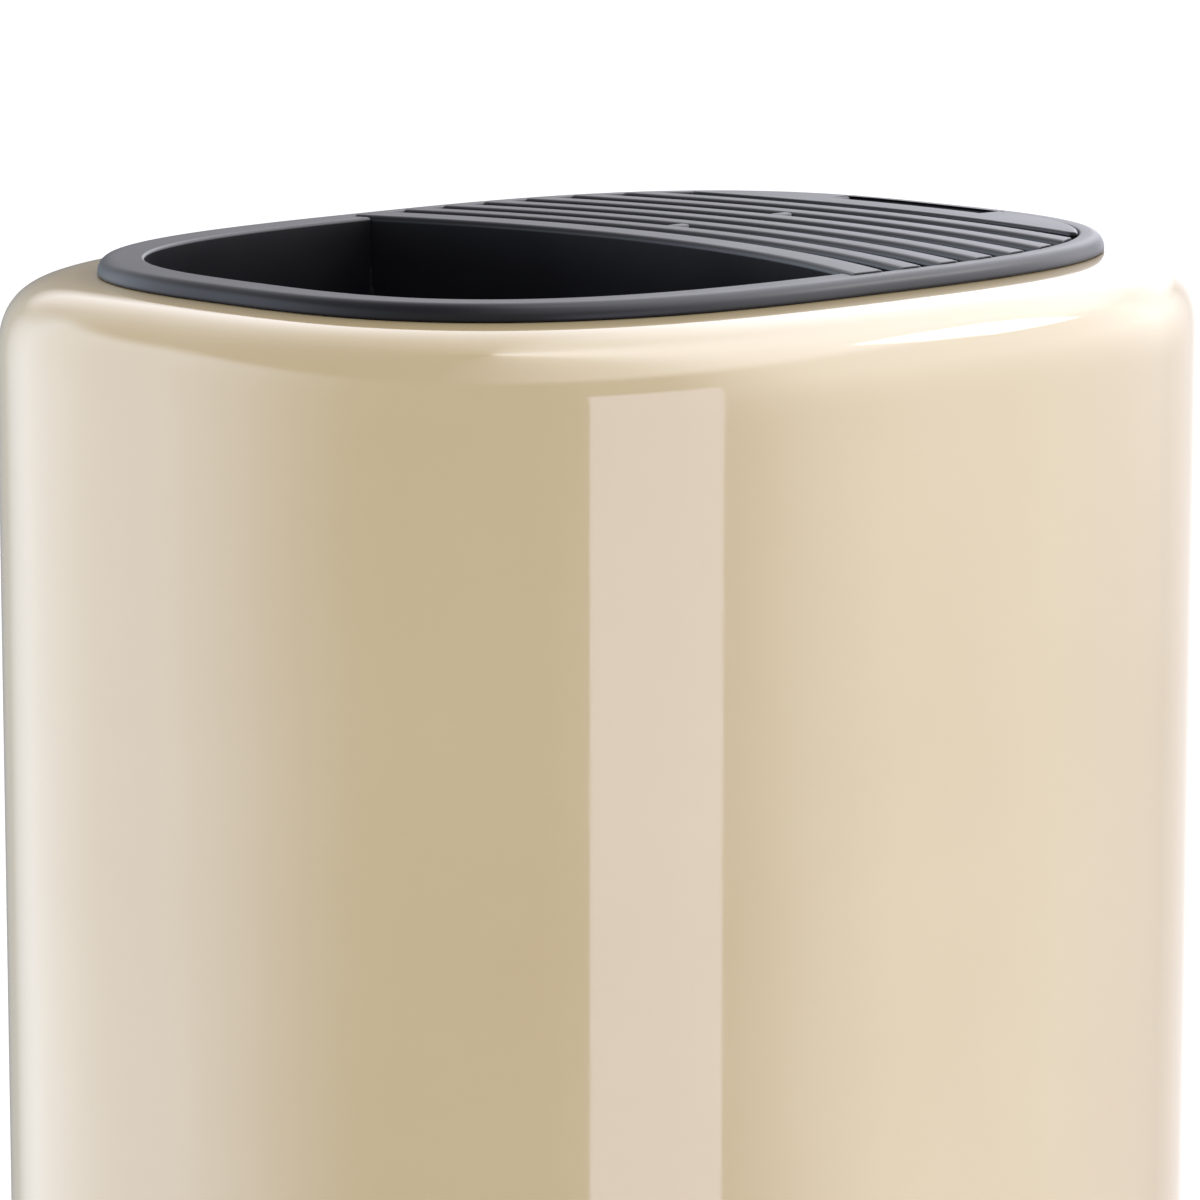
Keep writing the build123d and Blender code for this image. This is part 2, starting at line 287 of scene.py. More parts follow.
@dataclass(frozen=True)
class SoftRubber:
    """Compression-moulded thermoplastic rubber.

    It is nearly matt, with a faint bloom that lightens it in patches and a fine skin texture.
    """

    name: str
    colour: str
    bloom_colour: str
    skin_mm: float = 0.7
    bloom_mm: float = 9.0

    def build(self) -> bpy.types.Material:
        """Makes the material."""
        material, tree, shader, place = start_material(self.name)
        bloom = node(
            tree, "ShaderNodeTexNoise", {"Vector": place, "Scale": 1 / (self.bloom_mm * MM), "Detail": 5.0}
        )
        colour = node(
            tree, "ShaderNodeMix",
            {0: bloom.outputs["Fac"], 6: linear(self.colour), 7: linear(self.bloom_colour)}, data_type="RGBA",
        )
        tree.links.new(colour.outputs[2], shader.inputs["Base Color"])
        skin = node(
            tree, "ShaderNodeTexVoronoi", {"Vector": place, "Scale": 1 / (self.skin_mm * MM)}, feature="F1"
        )
        bump = node(
            tree, "ShaderNodeBump",
            {"Height": skin.outputs["Distance"], "Strength": 0.5, "Distance": 0.02 * MM},
        )
        tree.links.new(bump.outputs["Normal"], shader.inputs["Normal"])
        shader.inputs["Roughness"].default_value = 0.72
        shader.inputs["IOR"].default_value = 1.52
        return material


@dataclass(frozen=True)
class ZincPlatedSteel:
    """Pressed or headed steel with a bright zinc plating.

    The plating is pale grey with faint spangle, and the pressing leaves fine drawn lines.
    """

    name: str
    colour: str
    dull_colour: str
    roughness: float = 0.34

    def build(self) -> bpy.types.Material:
        """Makes the material."""
        material, tree, shader, place = start_material(self.name)
        spangle = node(tree, "ShaderNodeTexVoronoi", {"Vector": place, "Scale": 1 / (1.6 * MM)}, feature="F1")
        colour = node(
            tree, "ShaderNodeMix",
            {0: spangle.outputs["Distance"], 6: linear(self.colour), 7: linear(self.dull_colour)},
            data_type="RGBA",
        )
        tree.links.new(colour.outputs[2], shader.inputs["Base Color"])
        stretch = node(tree, "ShaderNodeMapping", {"Vector": place, "Scale": (1.0, 1.0, 0.06)})
        lines = node(
            tree, "ShaderNodeTexNoise",
            {"Vector": stretch.outputs[0], "Scale": 1 / (0.25 * MM), "Detail": 2.0}
        )
        bump = node(
            tree, "ShaderNodeBump", {"Height": lines.outputs["Fac"], "Strength": 0.4, "Distance": 0.006 * MM},
        )
        tree.links.new(bump.outputs["Normal"], shader.inputs["Normal"])
        rough = node(
            tree, "ShaderNodeMapRange",
            {0: spangle.outputs["Distance"], 3: self.roughness * 0.85, 4: self.roughness * 1.2},
        )
        tree.links.new(rough.outputs[0], shader.inputs["Roughness"])
        shader.inputs["Metallic"].default_value = 1.0
        return material


# Plan and mesh helpers


@lru_cache(maxsize=4)
def even_outline(half_length: float, half_width: float, fullness: float) -> tuple[np.ndarray, np.ndarray]:
    """Points evenly spaced round a superellipse, and the outward normal at each.

    Args:
        half_length: half of its length.
        half_width: half of its width.
        fullness: exponent; 2 is an ellipse and more is squarer.

    Returns:
        Points and unit normals, anticlockwise from the middle of the +X end.
    """
    turn = np.linspace(0.0, 2 * math.pi, 60001)
    c, s = np.cos(turn), np.sin(turn)
    x = half_length * np.sign(c) * np.abs(c) ** (2 / fullness)
    y = half_width * np.sign(s) * np.abs(s) ** (2 / fullness)
    nx = np.sign(x) * np.abs(x / half_length) ** (fullness - 1) / half_length
    ny = np.sign(y) * np.abs(y / half_width) ** (fullness - 1) / half_width
    size = np.hypot(nx, ny)
    run = np.concatenate([[0.0], np.cumsum(np.hypot(np.diff(x), np.diff(y)))])
    even = np.linspace(0.0, run[-1], 7201)[:-1]
    points = np.stack([np.interp(even, run, x), np.interp(even, run, y)], 1)
    normals = np.stack([np.interp(even, run, nx / size), np.interp(even, run, ny / size)], 1)
    return points, normals / np.linalg.norm(normals, axis=1)[:, None]


@dataclass(frozen=True)
class VesselPlan:
    """Plan that every piece shares: a superellipse, and arcs about one centre for the divider."""

    half_length: float = 77.6
    half_width: float = 58.0
    fullness: float = 2.89
    divider_centre: float = -122.0

    def at(self, turns: np.ndarray, grow: float) -> np.ndarray:
        """Points on the outline moved out by grow, at shares of a turn.

        Args:
            turns: shares of the way round, anticlockwise from the +X end.
            grow: distance outwards.

        Returns:
            Points, one row each.
        """
        points, normals = even_outline(self.half_length, self.half_width, self.fullness)
        count = len(points)
        place = np.mod(np.asarray(turns, float), 1.0) * count
        low = np.floor(place).astype(int) % count
        high = (low + 1) % count
        share = (place - np.floor(place))[:, None]
        grown = points + normals * grow
        return grown[low] * (1 - share) + grown[high] * share

    def crossing(self, grow: float, radius: float) -> float:
        """Share of a turn at which the moved outline crosses a divider arc, on the +Y side."""
        turns = np.linspace(0.0, 0.5, 3601)
        points = self.at(turns, grow)
        away = np.hypot(points[:, 0] - self.divider_centre, points[:, 1])
        return float(np.interp(-radius, -away, turns))

    def arc(self, radius: float, start: float, end: float, count: int) -> np.ndarray:
        """Points on a divider arc between two angles in radians."""
        turn = np.linspace(start, end, count)
        return np.stack([self.divider_centre + radius * np.cos(turn), radius * np.sin(turn)], 1)

    def half_angle(self, grow: float, radius: float) -> float:
        """Angle in radians at which a divider arc meets the moved outline."""
        x, y = self.at(np.array([self.crossing(grow, radius)]), grow)[0]
        return math.atan2(y, x - self.divider_centre)

    def stretch(self, grow: float, side: Side, radius: float, count: int) -> np.ndarray:
        """Points on the moved outline, on one side of a divider arc or all round.

        Args:
            grow: distance outwards.
            side: side of the divider arc.
            radius: radius of the divider arc that ends the stretch.
            count: number of points.

        Returns:
            Points, anticlockwise.
        """
        if side is Side.ALL_ROUND:
            return self.at(np.arange(count) / count, grow)
        end = self.crossing(grow, radius)
        span = (-end, end) if side is Side.KNIFE else (end, 1 - end)
        return self.at(np.linspace(*span, count), grow)

    def cup_loop(self, grow: float, radius: float, corner: float) -> np.ndarray:
        """Closed loop of the utensil side, with rounded corners where wall and divider meet.

        Args:
            grow: distance outwards from the outline.
            radius: radius of the divider arc.
            corner: radius of the two corners.

        Returns:
            Points, anticlockwise, the same number for any sizes.
        """
        tangent = self.crossing(grow - corner, radius - corner)
        wall = self.at(np.linspace(tangent, 1 - tangent, 170), grow)
        top = self.at(np.array([tangent]), grow - corner)[0]
        outer = wall[0] - top
        normal = math.atan2(outer[1], outer[0])
        lean = math.atan2(top[1], top[0] - self.divider_centre)
        turn = np.linspace(-normal, -lean, 11)[1:-1]
        low = np.array([top[0], -top[1]]) + corner * np.stack([np.cos(turn), np.sin(turn)], 1)
        turn = np.linspace(lean, normal, 11)[1:-1]
        high = top + corner * np.stack([np.cos(turn), np.sin(turn)], 1)
        divider = self.arc(radius, -lean, lean, 110)
        return np.concatenate([wall, low, divider, high])


PLAN = VesselPlan()


def lift(points: np.ndarray, z: float) -> np.ndarray:
    """Gives plan points a height."""
    return np.column_stack([points, np.full(len(points), float(z))])


def inset(loop: np.ndarray, depth: float) -> np.ndarray:
    """Moves a closed loop to the left of its direction, with mitred corners.

    Args:
        loop: plan points in order.
        depth: distance moved.

    Returns:
        Moved points.
    """
    before = loop - np.roll(loop, 1, 0)
    after = np.roll(loop, -1, 0) - loop
    before = before / np.linalg.norm(before, axis=1)[:, None]
    after = after / np.linalg.norm(after, axis=1)[:, None]
    left = np.stack([-before[:, 1] - after[:, 1], before[:, 0] + after[:, 0]], 1)
    left = left / np.linalg.norm(left, axis=1)[:, None]
    share = np.clip(left[:, 0] * -after[:, 1] + left[:, 1] * after[:, 0], 0.35, 1.0)
    return loop + left * (depth / share)[:, None]


def round_corner(centre: tuple[float, float], reach: tuple[float, float], start: float, end: float,
                 fullness: float = 2.0, steps: int = 8) -> list[tuple[float, float]]:
    """Section points round a superelliptic corner.

    Args:
        centre: centre of the corner, as distance outwards and height.
        reach: reach of the corner outwards and upwards.
        start: first angle in degrees, anticlockwise from outwards.
        end: last angle in degrees.
        fullness: exponent; 2 is a circle or ellipse.
        steps: number of steps.

    Returns:
        Section points.
    """
    made = []
    for turn in np.radians(np.linspace(start, end, steps + 1)):
        c, s = math.cos(turn), math.sin(turn)
        out = centre[0] + reach[0] * math.copysign(abs(c) ** (2 / fullness), c)
        made.append((out, centre[1] + reach[1] * math.copysign(abs(s) ** (2 / fullness), s)))
    return made


@dataclass
class MeshMaker:
    """Collects points in millimetres and faces, then makes one object in metres."""

    points: list = field(default_factory=list)
    faces: list = field(default_factory=list)

    def add(self, rows: Sequence[np.ndarray], ring: bool, wrap: bool = False) -> list[list[int]]:
        """Adds a grid of quads through rows of points.

        Args:
            rows: rows with the same number of points.
            ring: whether each row closes on itself.
            wrap: whether the last row joins the first.

        Returns:
            Point indices of each row.
        """
        first = len(self.points)
        count = len(rows[0])
        for row in rows:
            self.points.extend(map(tuple, row))
        index = [[first + i * count + j for j in range(count)] for i in range(len(rows))]
        last = len(rows) if wrap else len(rows) - 1
        for i in range(last):
            near, far = index[i], index[(i + 1) % len(rows)]
            for j in range(count if ring else count - 1):
                k = (j + 1) % count
                self.faces.append((near[j], near[k], far[k], far[j]))
        return index

    def cap(self, *loops: Sequence[int]) -> None:
        """Closes a flat loop of points, with holes where more loops are given."""
        shapes = [[Vector(self.points[i]) for i in loop] for loop in loops]
        flat = [i for loop in loops for i in loop]
        self.faces.extend(tuple(flat[i] for i in triangle) for triangle in tessellate_polygon(shapes))

    def polygon(self, points: Sequence[Sequence[float]]) -> None:
        """Adds one face through points of its own."""
        first = len(self.points)
        self.points.extend(tuple(p) for p in points)
        self.faces.append(tuple(range(first, first + len(points))))

    def slab(self, loop: np.ndarray, low: float, high: float, edge: float,
             holes: Sequence[np.ndarray] = (), hole_edge: float = 0.0, steps: int = 4) -> None:
        """Adds a closed flat piece with a rounded top edge.

        Args:
            loop: outer loop in plan, anticlockwise.
            low: height of its underside.
            high: height of its top.
            edge: radius of the outer top edge.
            holes: inner loops in plan, clockwise.
            hole_edge: radius of the top edge of each hole.
            steps: steps round the edge.
        """
        stacks = []
        for each, size in [(loop, edge), *((hole, hole_edge) for hole in holes)]:
            rows = [lift(each, low)]
            for turn in np.radians(np.linspace(0, 90, steps + 1)):
                rows.append(lift(inset(each, size * (1 - math.cos(turn))),
                                 high - size + size * math.sin(turn)))
            stacks.append(self.add(rows, ring=True))
        self.cap(*[stack[0] for stack in stacks])
        self.cap(*[stack[-1] for stack in stacks])

    def swept(self, section: Section, side: Side, radius: float, count: int) -> None:
        """Adds a closed section swept along the outline.

        Args:
            section: closed section, as distance outwards and height.
            side: side of the divider on which it lies.
            radius: radius of the divider arc that ends it.
            count: points along the way.
        """
        rows = [lift(PLAN.stretch(grow, side, radius, count), z) for grow, z in section]
        index = self.add(rows, ring=side is Side.ALL_ROUND, wrap=True)
        if side is not Side.ALL_ROUND:
            self.cap([row[0] for row in index])
            self.cap([row[-1] for row in index])

    def build(self, name: str) -> bpy.types.Object:
        """Makes the object, with doubles merged and faces outwards."""
        mesh = bpy.data.meshes.new(name)
        mesh.from_pydata([tuple(c * MM for c in p) for p in self.points], [], self.faces)
        made = bpy.data.objects.new(name, mesh)
        bpy.context.scene.collection.objects.link(made)
        close_up(made)
        return made


def close_up(piece: bpy.types.Object, edge: float = 0.0) -> None:
    """Merges doubles, turns faces outwards, rounds steep edges and sets the shading.

    Args:
        piece: object with a closed mesh.
        edge: width in millimetres of a rounding on steep edges, or 0 for none.
    """
    shape = bmesh.new()
    shape.from_mesh(piece.data)
    bmesh.ops.remove_doubles(shape, verts=shape.verts, dist=0.002 * MM)
    bmesh.ops.dissolve_degenerate(shape, edges=shape.edges, dist=0.001 * MM)
    bmesh.ops.recalc_face_normals(shape, faces=shape.faces)
    if edge:
        steep = [e for e in shape.edges
                 if e.is_manifold and math.degrees(e.calc_face_angle(0.0)) > STEEP_ANGLE]
        bmesh.ops.bevel(
            shape, geom=steep, offset=edge * MM, offset_type="OFFSET", segments=3, profile=0.5,
            affect="EDGES", clamp_overlap=True,
        )
    for face in shape.faces:
        face.smooth = True
    for each in shape.edges:
        each.smooth = not each.is_manifold or math.degrees(each.calc_face_angle(0.0)) < SHARP_ANGLE
    shape.to_mesh(piece.data)
    shape.free()


def keep_flats(piece: bpy.types.Object) -> None:
    """Lets large flat faces keep flat shading beside their rounded edges."""
    modifier = piece.modifiers.new("Flats", "WEIGHTED_NORMAL")
    modifier.keep_sharp = True
    modifier.weight = 80


def finish_piece(piece: bpy.types.Object, body: str, material: bpy.types.Material,
                 stands_for: Sequence[str]) -> bpy.types.Object:
    """Dresses a piece and ties it to the frame.

    Args:
        piece: object in place.
        body: CAD body that it rides on.
        material: finish of the piece.
        stands_for: CAD nodes that it replaces.

    Returns:
        The same object.
    """
    piece.data.materials.clear()
    piece.data.materials.append(material)
    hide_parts(*stands_for)
    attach(piece, body)
    LOG.info("%s: %d faces on %s", piece.name, len(piece.data.polygons), body)
    return piece


def dress_node(frame: dict, name: str, material: bpy.types.Material) -> None:
    """Gives a carried-over CAD node its finish.

    Args:
        frame: loaded frame.
        name: CAD node.
        material: finish of the node.
    """
    mesh = frame["nodes"][name].data
    mesh.materials.clear()
    mesh.materials.append(material)
    LOG.info("%s: kept from the frame", name)


# Geometry Nodes helpers


def new_tree(name: str, sockets: dict[str, str]) -> tuple[bpy.types.NodeTree, bpy.types.Node]:
    """Starts a Geometry Nodes tree with named inputs.

    Args:
        name: name of the tree.
        sockets: socket type of each input, by its name.

    Returns:
        The tree and its input node.
    """
    tree = bpy.data.node_groups.new(name, "GeometryNodeTree")
    tree.interface.new_socket("Geometry", in_out="INPUT", socket_type="NodeSocketGeometry")
    for label, kind in sockets.items():
        tree.interface.new_socket(label, in_out="INPUT", socket_type=kind)
    tree.interface.new_socket("Geometry", in_out="OUTPUT", socket_type="NodeSocketGeometry")
    return tree, node(tree, "NodeGroupInput")


def end_tree(tree: bpy.types.NodeTree, geometry: bpy.types.NodeSocket,
             material: bpy.types.NodeSocket) -> None:
    """Ends a tree in Realize Instances and Set Material."""
    real = node(tree, "GeometryNodeRealizeInstances", {"Geometry": geometry})
    dressed = node(tree, "GeometryNodeSetMaterial", {"Geometry": real.outputs[0], "Material": material})
    node(tree, "NodeGroupOutput", {"Geometry": dressed.outputs[0]})


def point_cloud(name: str, points: np.ndarray,
                values: Optional[dict[str, Sequence[float]]] = None) -> bpy.types.Object:
    """Makes an object of loose points with named values.

    Args:
        name: name of the object.
        points: points in millimetres.
        values: numbers for each point, by attribute name.

    Returns:
        The object.
    """
    mesh = bpy.data.meshes.new(name)
    mesh.from_pydata([tuple(float(c) * MM for c in p) for p in points], [], [])
    for label, numbers in (values or {}).items():
        mesh.attributes.new(label, "FLOAT", "POINT").data.foreach_set("value", [float(v) for v in numbers])
    made = bpy.data.objects.new(name, mesh)
    bpy.context.scene.collection.objects.link(made)
    return made


def bake(name: str, base: bpy.types.Object, tree: bpy.types.NodeTree, values: dict[str, Any],
         edge: float = 0.0) -> bpy.types.Object:
    """Runs a tree on an object and keeps the result as a plain mesh.

    Args:
        name: name of the finished piece.
        base: object that the tree starts from; it is removed.
        tree: Geometry Nodes tree.
        values: value of each named input.
        edge: width in millimetres of the rounding on steep edges.

    Returns:
        The finished piece.
    """
    modifier = base.modifiers.new("Build", "NODES")
    modifier.node_group = tree
    for item in tree.interface.items_tree:
        if item.item_type == "SOCKET" and item.in_out == "INPUT" and item.name in values:
            modifier[item.identifier] = values[item.name]
    graph = bpy.context.evaluated_depsgraph_get()
    mesh = bpy.data.meshes.new_from_object(base.evaluated_get(graph), depsgraph=graph)
    base.modifiers.remove(modifier)
    bpy.data.objects.remove(base)
    made = bpy.data.objects.new(name, mesh)
    bpy.context.scene.collection.objects.link(made)
    close_up(made, edge=edge)
    return made


def copies_tree() -> bpy.types.NodeTree:
    """Tree that sets copies of one piece on points, each at its own turn."""
    tree, given = new_tree(
        "copies_on_points", {
            "Piece": "NodeSocketObject", "Size": "NodeSocketFloat", "Turn": "NodeSocketFloat",
            "Seed": "NodeSocketInt", "Material": "NodeSocketMaterial",
        },
    )
    piece = node(tree, "GeometryNodeObjectInfo", {"Object": given.outputs["Piece"]})
    turn = node(tree, "FunctionNodeRandomValue", {3: given.outputs["Turn"], "Seed": given.outputs["Seed"]})
    axis = node(tree, "ShaderNodeCombineXYZ", {"Z": turn.outputs[1]})
    facing = node(tree, "FunctionNodeEulerToRotation", {0: axis.outputs[0]})
    size = node(tree, "ShaderNodeCombineXYZ", {i: given.outputs["Size"] for i in range(3)})
    copies = node(
        tree, "GeometryNodeInstanceOnPoints", {
            "Points": given.outputs["Geometry"], "Instance": piece.outputs["Geometry"],
            "Rotation": facing.outputs[0], "Scale": size.outputs[0],
        },
    )
    end_tree(tree, copies.outputs[0], given.outputs["Material"])
    return tree


def ribs_tree() -> bpy.types.NodeTree:
    """Tree that bends one straight bar along the arc of each point it is given."""
    tree, given = new_tree(
        "curved_ribs", {
            "Rib Width": "NodeSocketFloat", "Rib Height": "NodeSocketFloat",
            "Corner Radius": "NodeSocketFloat", "Stations": "NodeSocketInt", "Arc Centre": "NodeSocketFloat",
            "Underside": "NodeSocketFloat", "Material": "NodeSocketMaterial",
        },
    )
    width, height = given.outputs["Rib Width"], given.outputs["Rib Height"]
    line = node(tree, "GeometryNodeCurvePrimitiveLine", {"Start": (-1.0, 0.0, 0.0), "End": (1.0, 0.0, 0.0)})
    path = node(
        tree, "GeometryNodeResampleCurve", {"Curve": line.outputs[0], "Count": given.outputs["Stations"]}
    )
    frame = node(tree, "GeometryNodeCurvePrimitiveQuadrilateral", {"Width": width, "Height": height})
    rounded = node(
        tree, "GeometryNodeFilletCurve",
        {"Curve": frame.outputs[0], "Radius": given.outputs["Corner Radius"], "Count": 4}, mode="POLY",
    )
    bar = node(
        tree, "GeometryNodeCurveToMesh",
        {"Curve": path.outputs[0], "Profile Curve": rounded.outputs[0], "Fill Caps": True},
    )
    bars = node(
        tree, "GeometryNodeInstanceOnPoints",
        {"Points": given.outputs["Geometry"], "Instance": bar.outputs[0]},
    )
    real = node(tree, "GeometryNodeRealizeInstances", {"Geometry": bars.outputs[0]})
    at = node(tree, "ShaderNodeSeparateXYZ", {0: node(tree, "GeometryNodeInputPosition").outputs[0]})
    radius, extra, inner, outer = (
        node(tree, "GeometryNodeInputNamedAttribute", {"Name": label}, data_type="FLOAT").outputs[0]
        for label in ("rib_radius", "rib_extra", "turn_inner", "turn_outer")
    )
    side = node(tree, "ShaderNodeMath", {0: at.outputs["Y"]}, operation="SIGN")
    across = node(tree, "ShaderNodeMath", {0: side.outputs[0], 1: extra, 2: at.outputs["Y"]},
                  operation="MULTIPLY_ADD")
    half = node(tree, "ShaderNodeMath", {0: width, 1: 0.5, 2: extra}, operation="MULTIPLY_ADD")
    share = node(tree, "ShaderNodeMath", {0: across.outputs[0], 1: half.outputs[0]}, operation="DIVIDE")
    mixed = node(tree, "ShaderNodeMath", {0: share.outputs[0], 1: 0.5, 2: 0.5}, operation="MULTIPLY_ADD")
    turn = node(tree, "ShaderNodeMix", {0: mixed.outputs[0], 2: inner, 3: outer}, data_type="FLOAT")
    angle = node(tree, "ShaderNodeMath", {0: at.outputs["X"], 1: turn.outputs[0]}, operation="MULTIPLY")
    reach = node(tree, "ShaderNodeMath", {0: radius, 1: across.outputs[0]}, operation="ADD")
    cosine = node(tree, "ShaderNodeMath", {0: angle.outputs[0]}, operation="COSINE")
    sine = node(tree, "ShaderNodeMath", {0: angle.outputs[0]}, operation="SINE")
    x = node(
        tree, "ShaderNodeMath", {0: reach.outputs[0], 1: cosine.outputs[0], 2: given.outputs["Arc Centre"]},
        operation="MULTIPLY_ADD",
    )
    y = node(tree, "ShaderNodeMath", {0: reach.outputs[0], 1: sine.outputs[0]}, operation="MULTIPLY")
    middle = node(
        tree, "ShaderNodeMath", {0: height, 1: 0.5, 2: given.outputs["Underside"]}, operation="MULTIPLY_ADD"
    )
    z = node(tree, "ShaderNodeMath", {0: at.outputs["Z"], 1: middle.outputs[0]}, operation="ADD")
    place = node(tree, "ShaderNodeCombineXYZ", {0: x.outputs[0], 1: y.outputs[0], 2: z.outputs[0]})
    bent = node(tree, "GeometryNodeSetPosition", {"Geometry": real.outputs[0], "Position": place.outputs[0]})
    end_tree(tree, bent.outputs[0], given.outputs["Material"])
    return tree


def bead_tree() -> bpy.types.NodeTree:
    """Tree that runs a rounded strip along a closed path."""
    tree, given = new_tree(
        "bead_along_path", {
            "Strip Width": "NodeSocketFloat", "Strip Height": "NodeSocketFloat",
            "Corner Radius": "NodeSocketFloat", "Material": "NodeSocketMaterial",
        },
    )
    path = node(tree, "GeometryNodeMeshToCurve", {"Mesh": given.outputs["Geometry"]})
    frame = node(
        tree, "GeometryNodeCurvePrimitiveQuadrilateral",
        {"Width": given.outputs["Strip Width"], "Height": given.outputs["Strip Height"]},
    )
    rounded = node(
        tree, "GeometryNodeFilletCurve",
        {"Curve": frame.outputs[0], "Radius": given.outputs["Corner Radius"], "Count": 4}, mode="POLY",
    )
    strip = node(
        tree, "GeometryNodeCurveToMesh", {"Curve": path.outputs[0], "Profile Curve": rounded.outputs[0]}
    )
    end_tree(tree, strip.outputs[0], given.outputs["Material"])
    return tree


def studs_tree() -> bpy.types.NodeTree:
    """Tree that stands low round studs on a mat, at the points of another object."""
    tree, given = new_tree(
        "studs_on_mat", {
            "Places": "NodeSocketObject", "Stud Radius": "NodeSocketFloat", "Stud Height": "NodeSocketFloat",
            "Material": "NodeSocketMaterial",
        },
    )
    places = node(tree, "GeometryNodeObjectInfo", {"Object": given.outputs["Places"]})
    top = node(tree, "ShaderNodeMath", {0: given.outputs["Stud Radius"], 1: 0.55}, operation="MULTIPLY")
    stud = node(
        tree, "GeometryNodeMeshCone", {
            "Vertices": 14, "Radius Top": top.outputs[0], "Radius Bottom": given.outputs["Stud Radius"],
            "Depth": given.outputs["Stud Height"],
        },
    )
    copies = node(
        tree, "GeometryNodeInstanceOnPoints",
        {"Points": places.outputs["Geometry"], "Instance": stud.outputs["Mesh"]},
    )
    both = node(tree, "GeometryNodeJoinGeometry")
    tree.links.new(copies.outputs[0], both.inputs[0])
    tree.links.new(given.outputs["Geometry"], both.inputs[0])
    end_tree(tree, both.outputs[0], given.outputs["Material"])
    return tree


# Sub-assemblies


@dataclass
class EnamelVessel:
    """Drawn steel vessel: wall, soft shoulder, neck and hemmed bottom edge."""

    material: bpy.types.Material
    reach: float = 14.95
    sheet: float = 1.2
    bottom: float = 4.5
    top: float = 227.75
    shoulder: float = 14.2
    shoulder_fullness: float = 3.2
    fall: float = 0.05
    neck: float = -2.2
    neck_bottom: float = 217.5
    lip_radius: float = 1.6
    stations: int = 400

    def section(self) -> list[tuple[float, float]]:
        """Closed section of the sheet, from the bottom edge up and back down inside."""
        hem = self.sheet / 2
        out = self.reach
        foot = self.top - self.shoulder
        wall = [(out, z) for z in np.linspace(self.bottom + hem, foot, 12)[:-1]]
        outer = round_corner((out - self.shoulder, foot), (self.shoulder,) * 2, 0, 90,
                             self.shoulder_fullness, 40)
        turn = round_corner((self.neck + self.lip_radius + 0.01, self.top - self.lip_radius),
                            (self.lip_radius,) * 2, 90, 180, 2.0, 8)
        turn = [(self.neck if i == 8 else g, z) for i, (g, z) in enumerate(turn)]
        end = round_corner((self.neck + hem, self.neck_bottom + hem), (hem, hem), 180, 360, 2.0, 8)
        inside_lip = self.neck + self.sheet
        small = self.lip_radius - 0.6
        back = round_corner((inside_lip + small, self.top - self.sheet - small), (small, small), 180, 90, 2.0,
                            5)
        inner = round_corner((out - self.shoulder, foot), (self.shoulder - self.sheet,) * 2, 90, 0,
                             self.shoulder_fullness, 24)
        lining = [(out - self.sheet, z) for z in np.linspace(foot, self.bottom + hem, 8)[1:-1]]
        outer, inner = ([(g, z - self.fall * max(g, 0.0)) for g, z in part] for part in (outer, inner))
        edge = round_corner((out - hem, self.bottom + hem), (hem, hem), 180, 360, 2.0, 8)
        return wall + outer + turn + end + back + inner[1:] + lining + edge[:-1]

    def build(self) -> bpy.types.Object:
        """Makes the vessel."""
        maker = MeshMaker()
        maker.swept(self.section(), Side.ALL_ROUND, 0.0, self.stations)
        piece = maker.build("enamel_vessel")
        return finish_piece(piece, "vessel", self.material, ["outer_shell"])


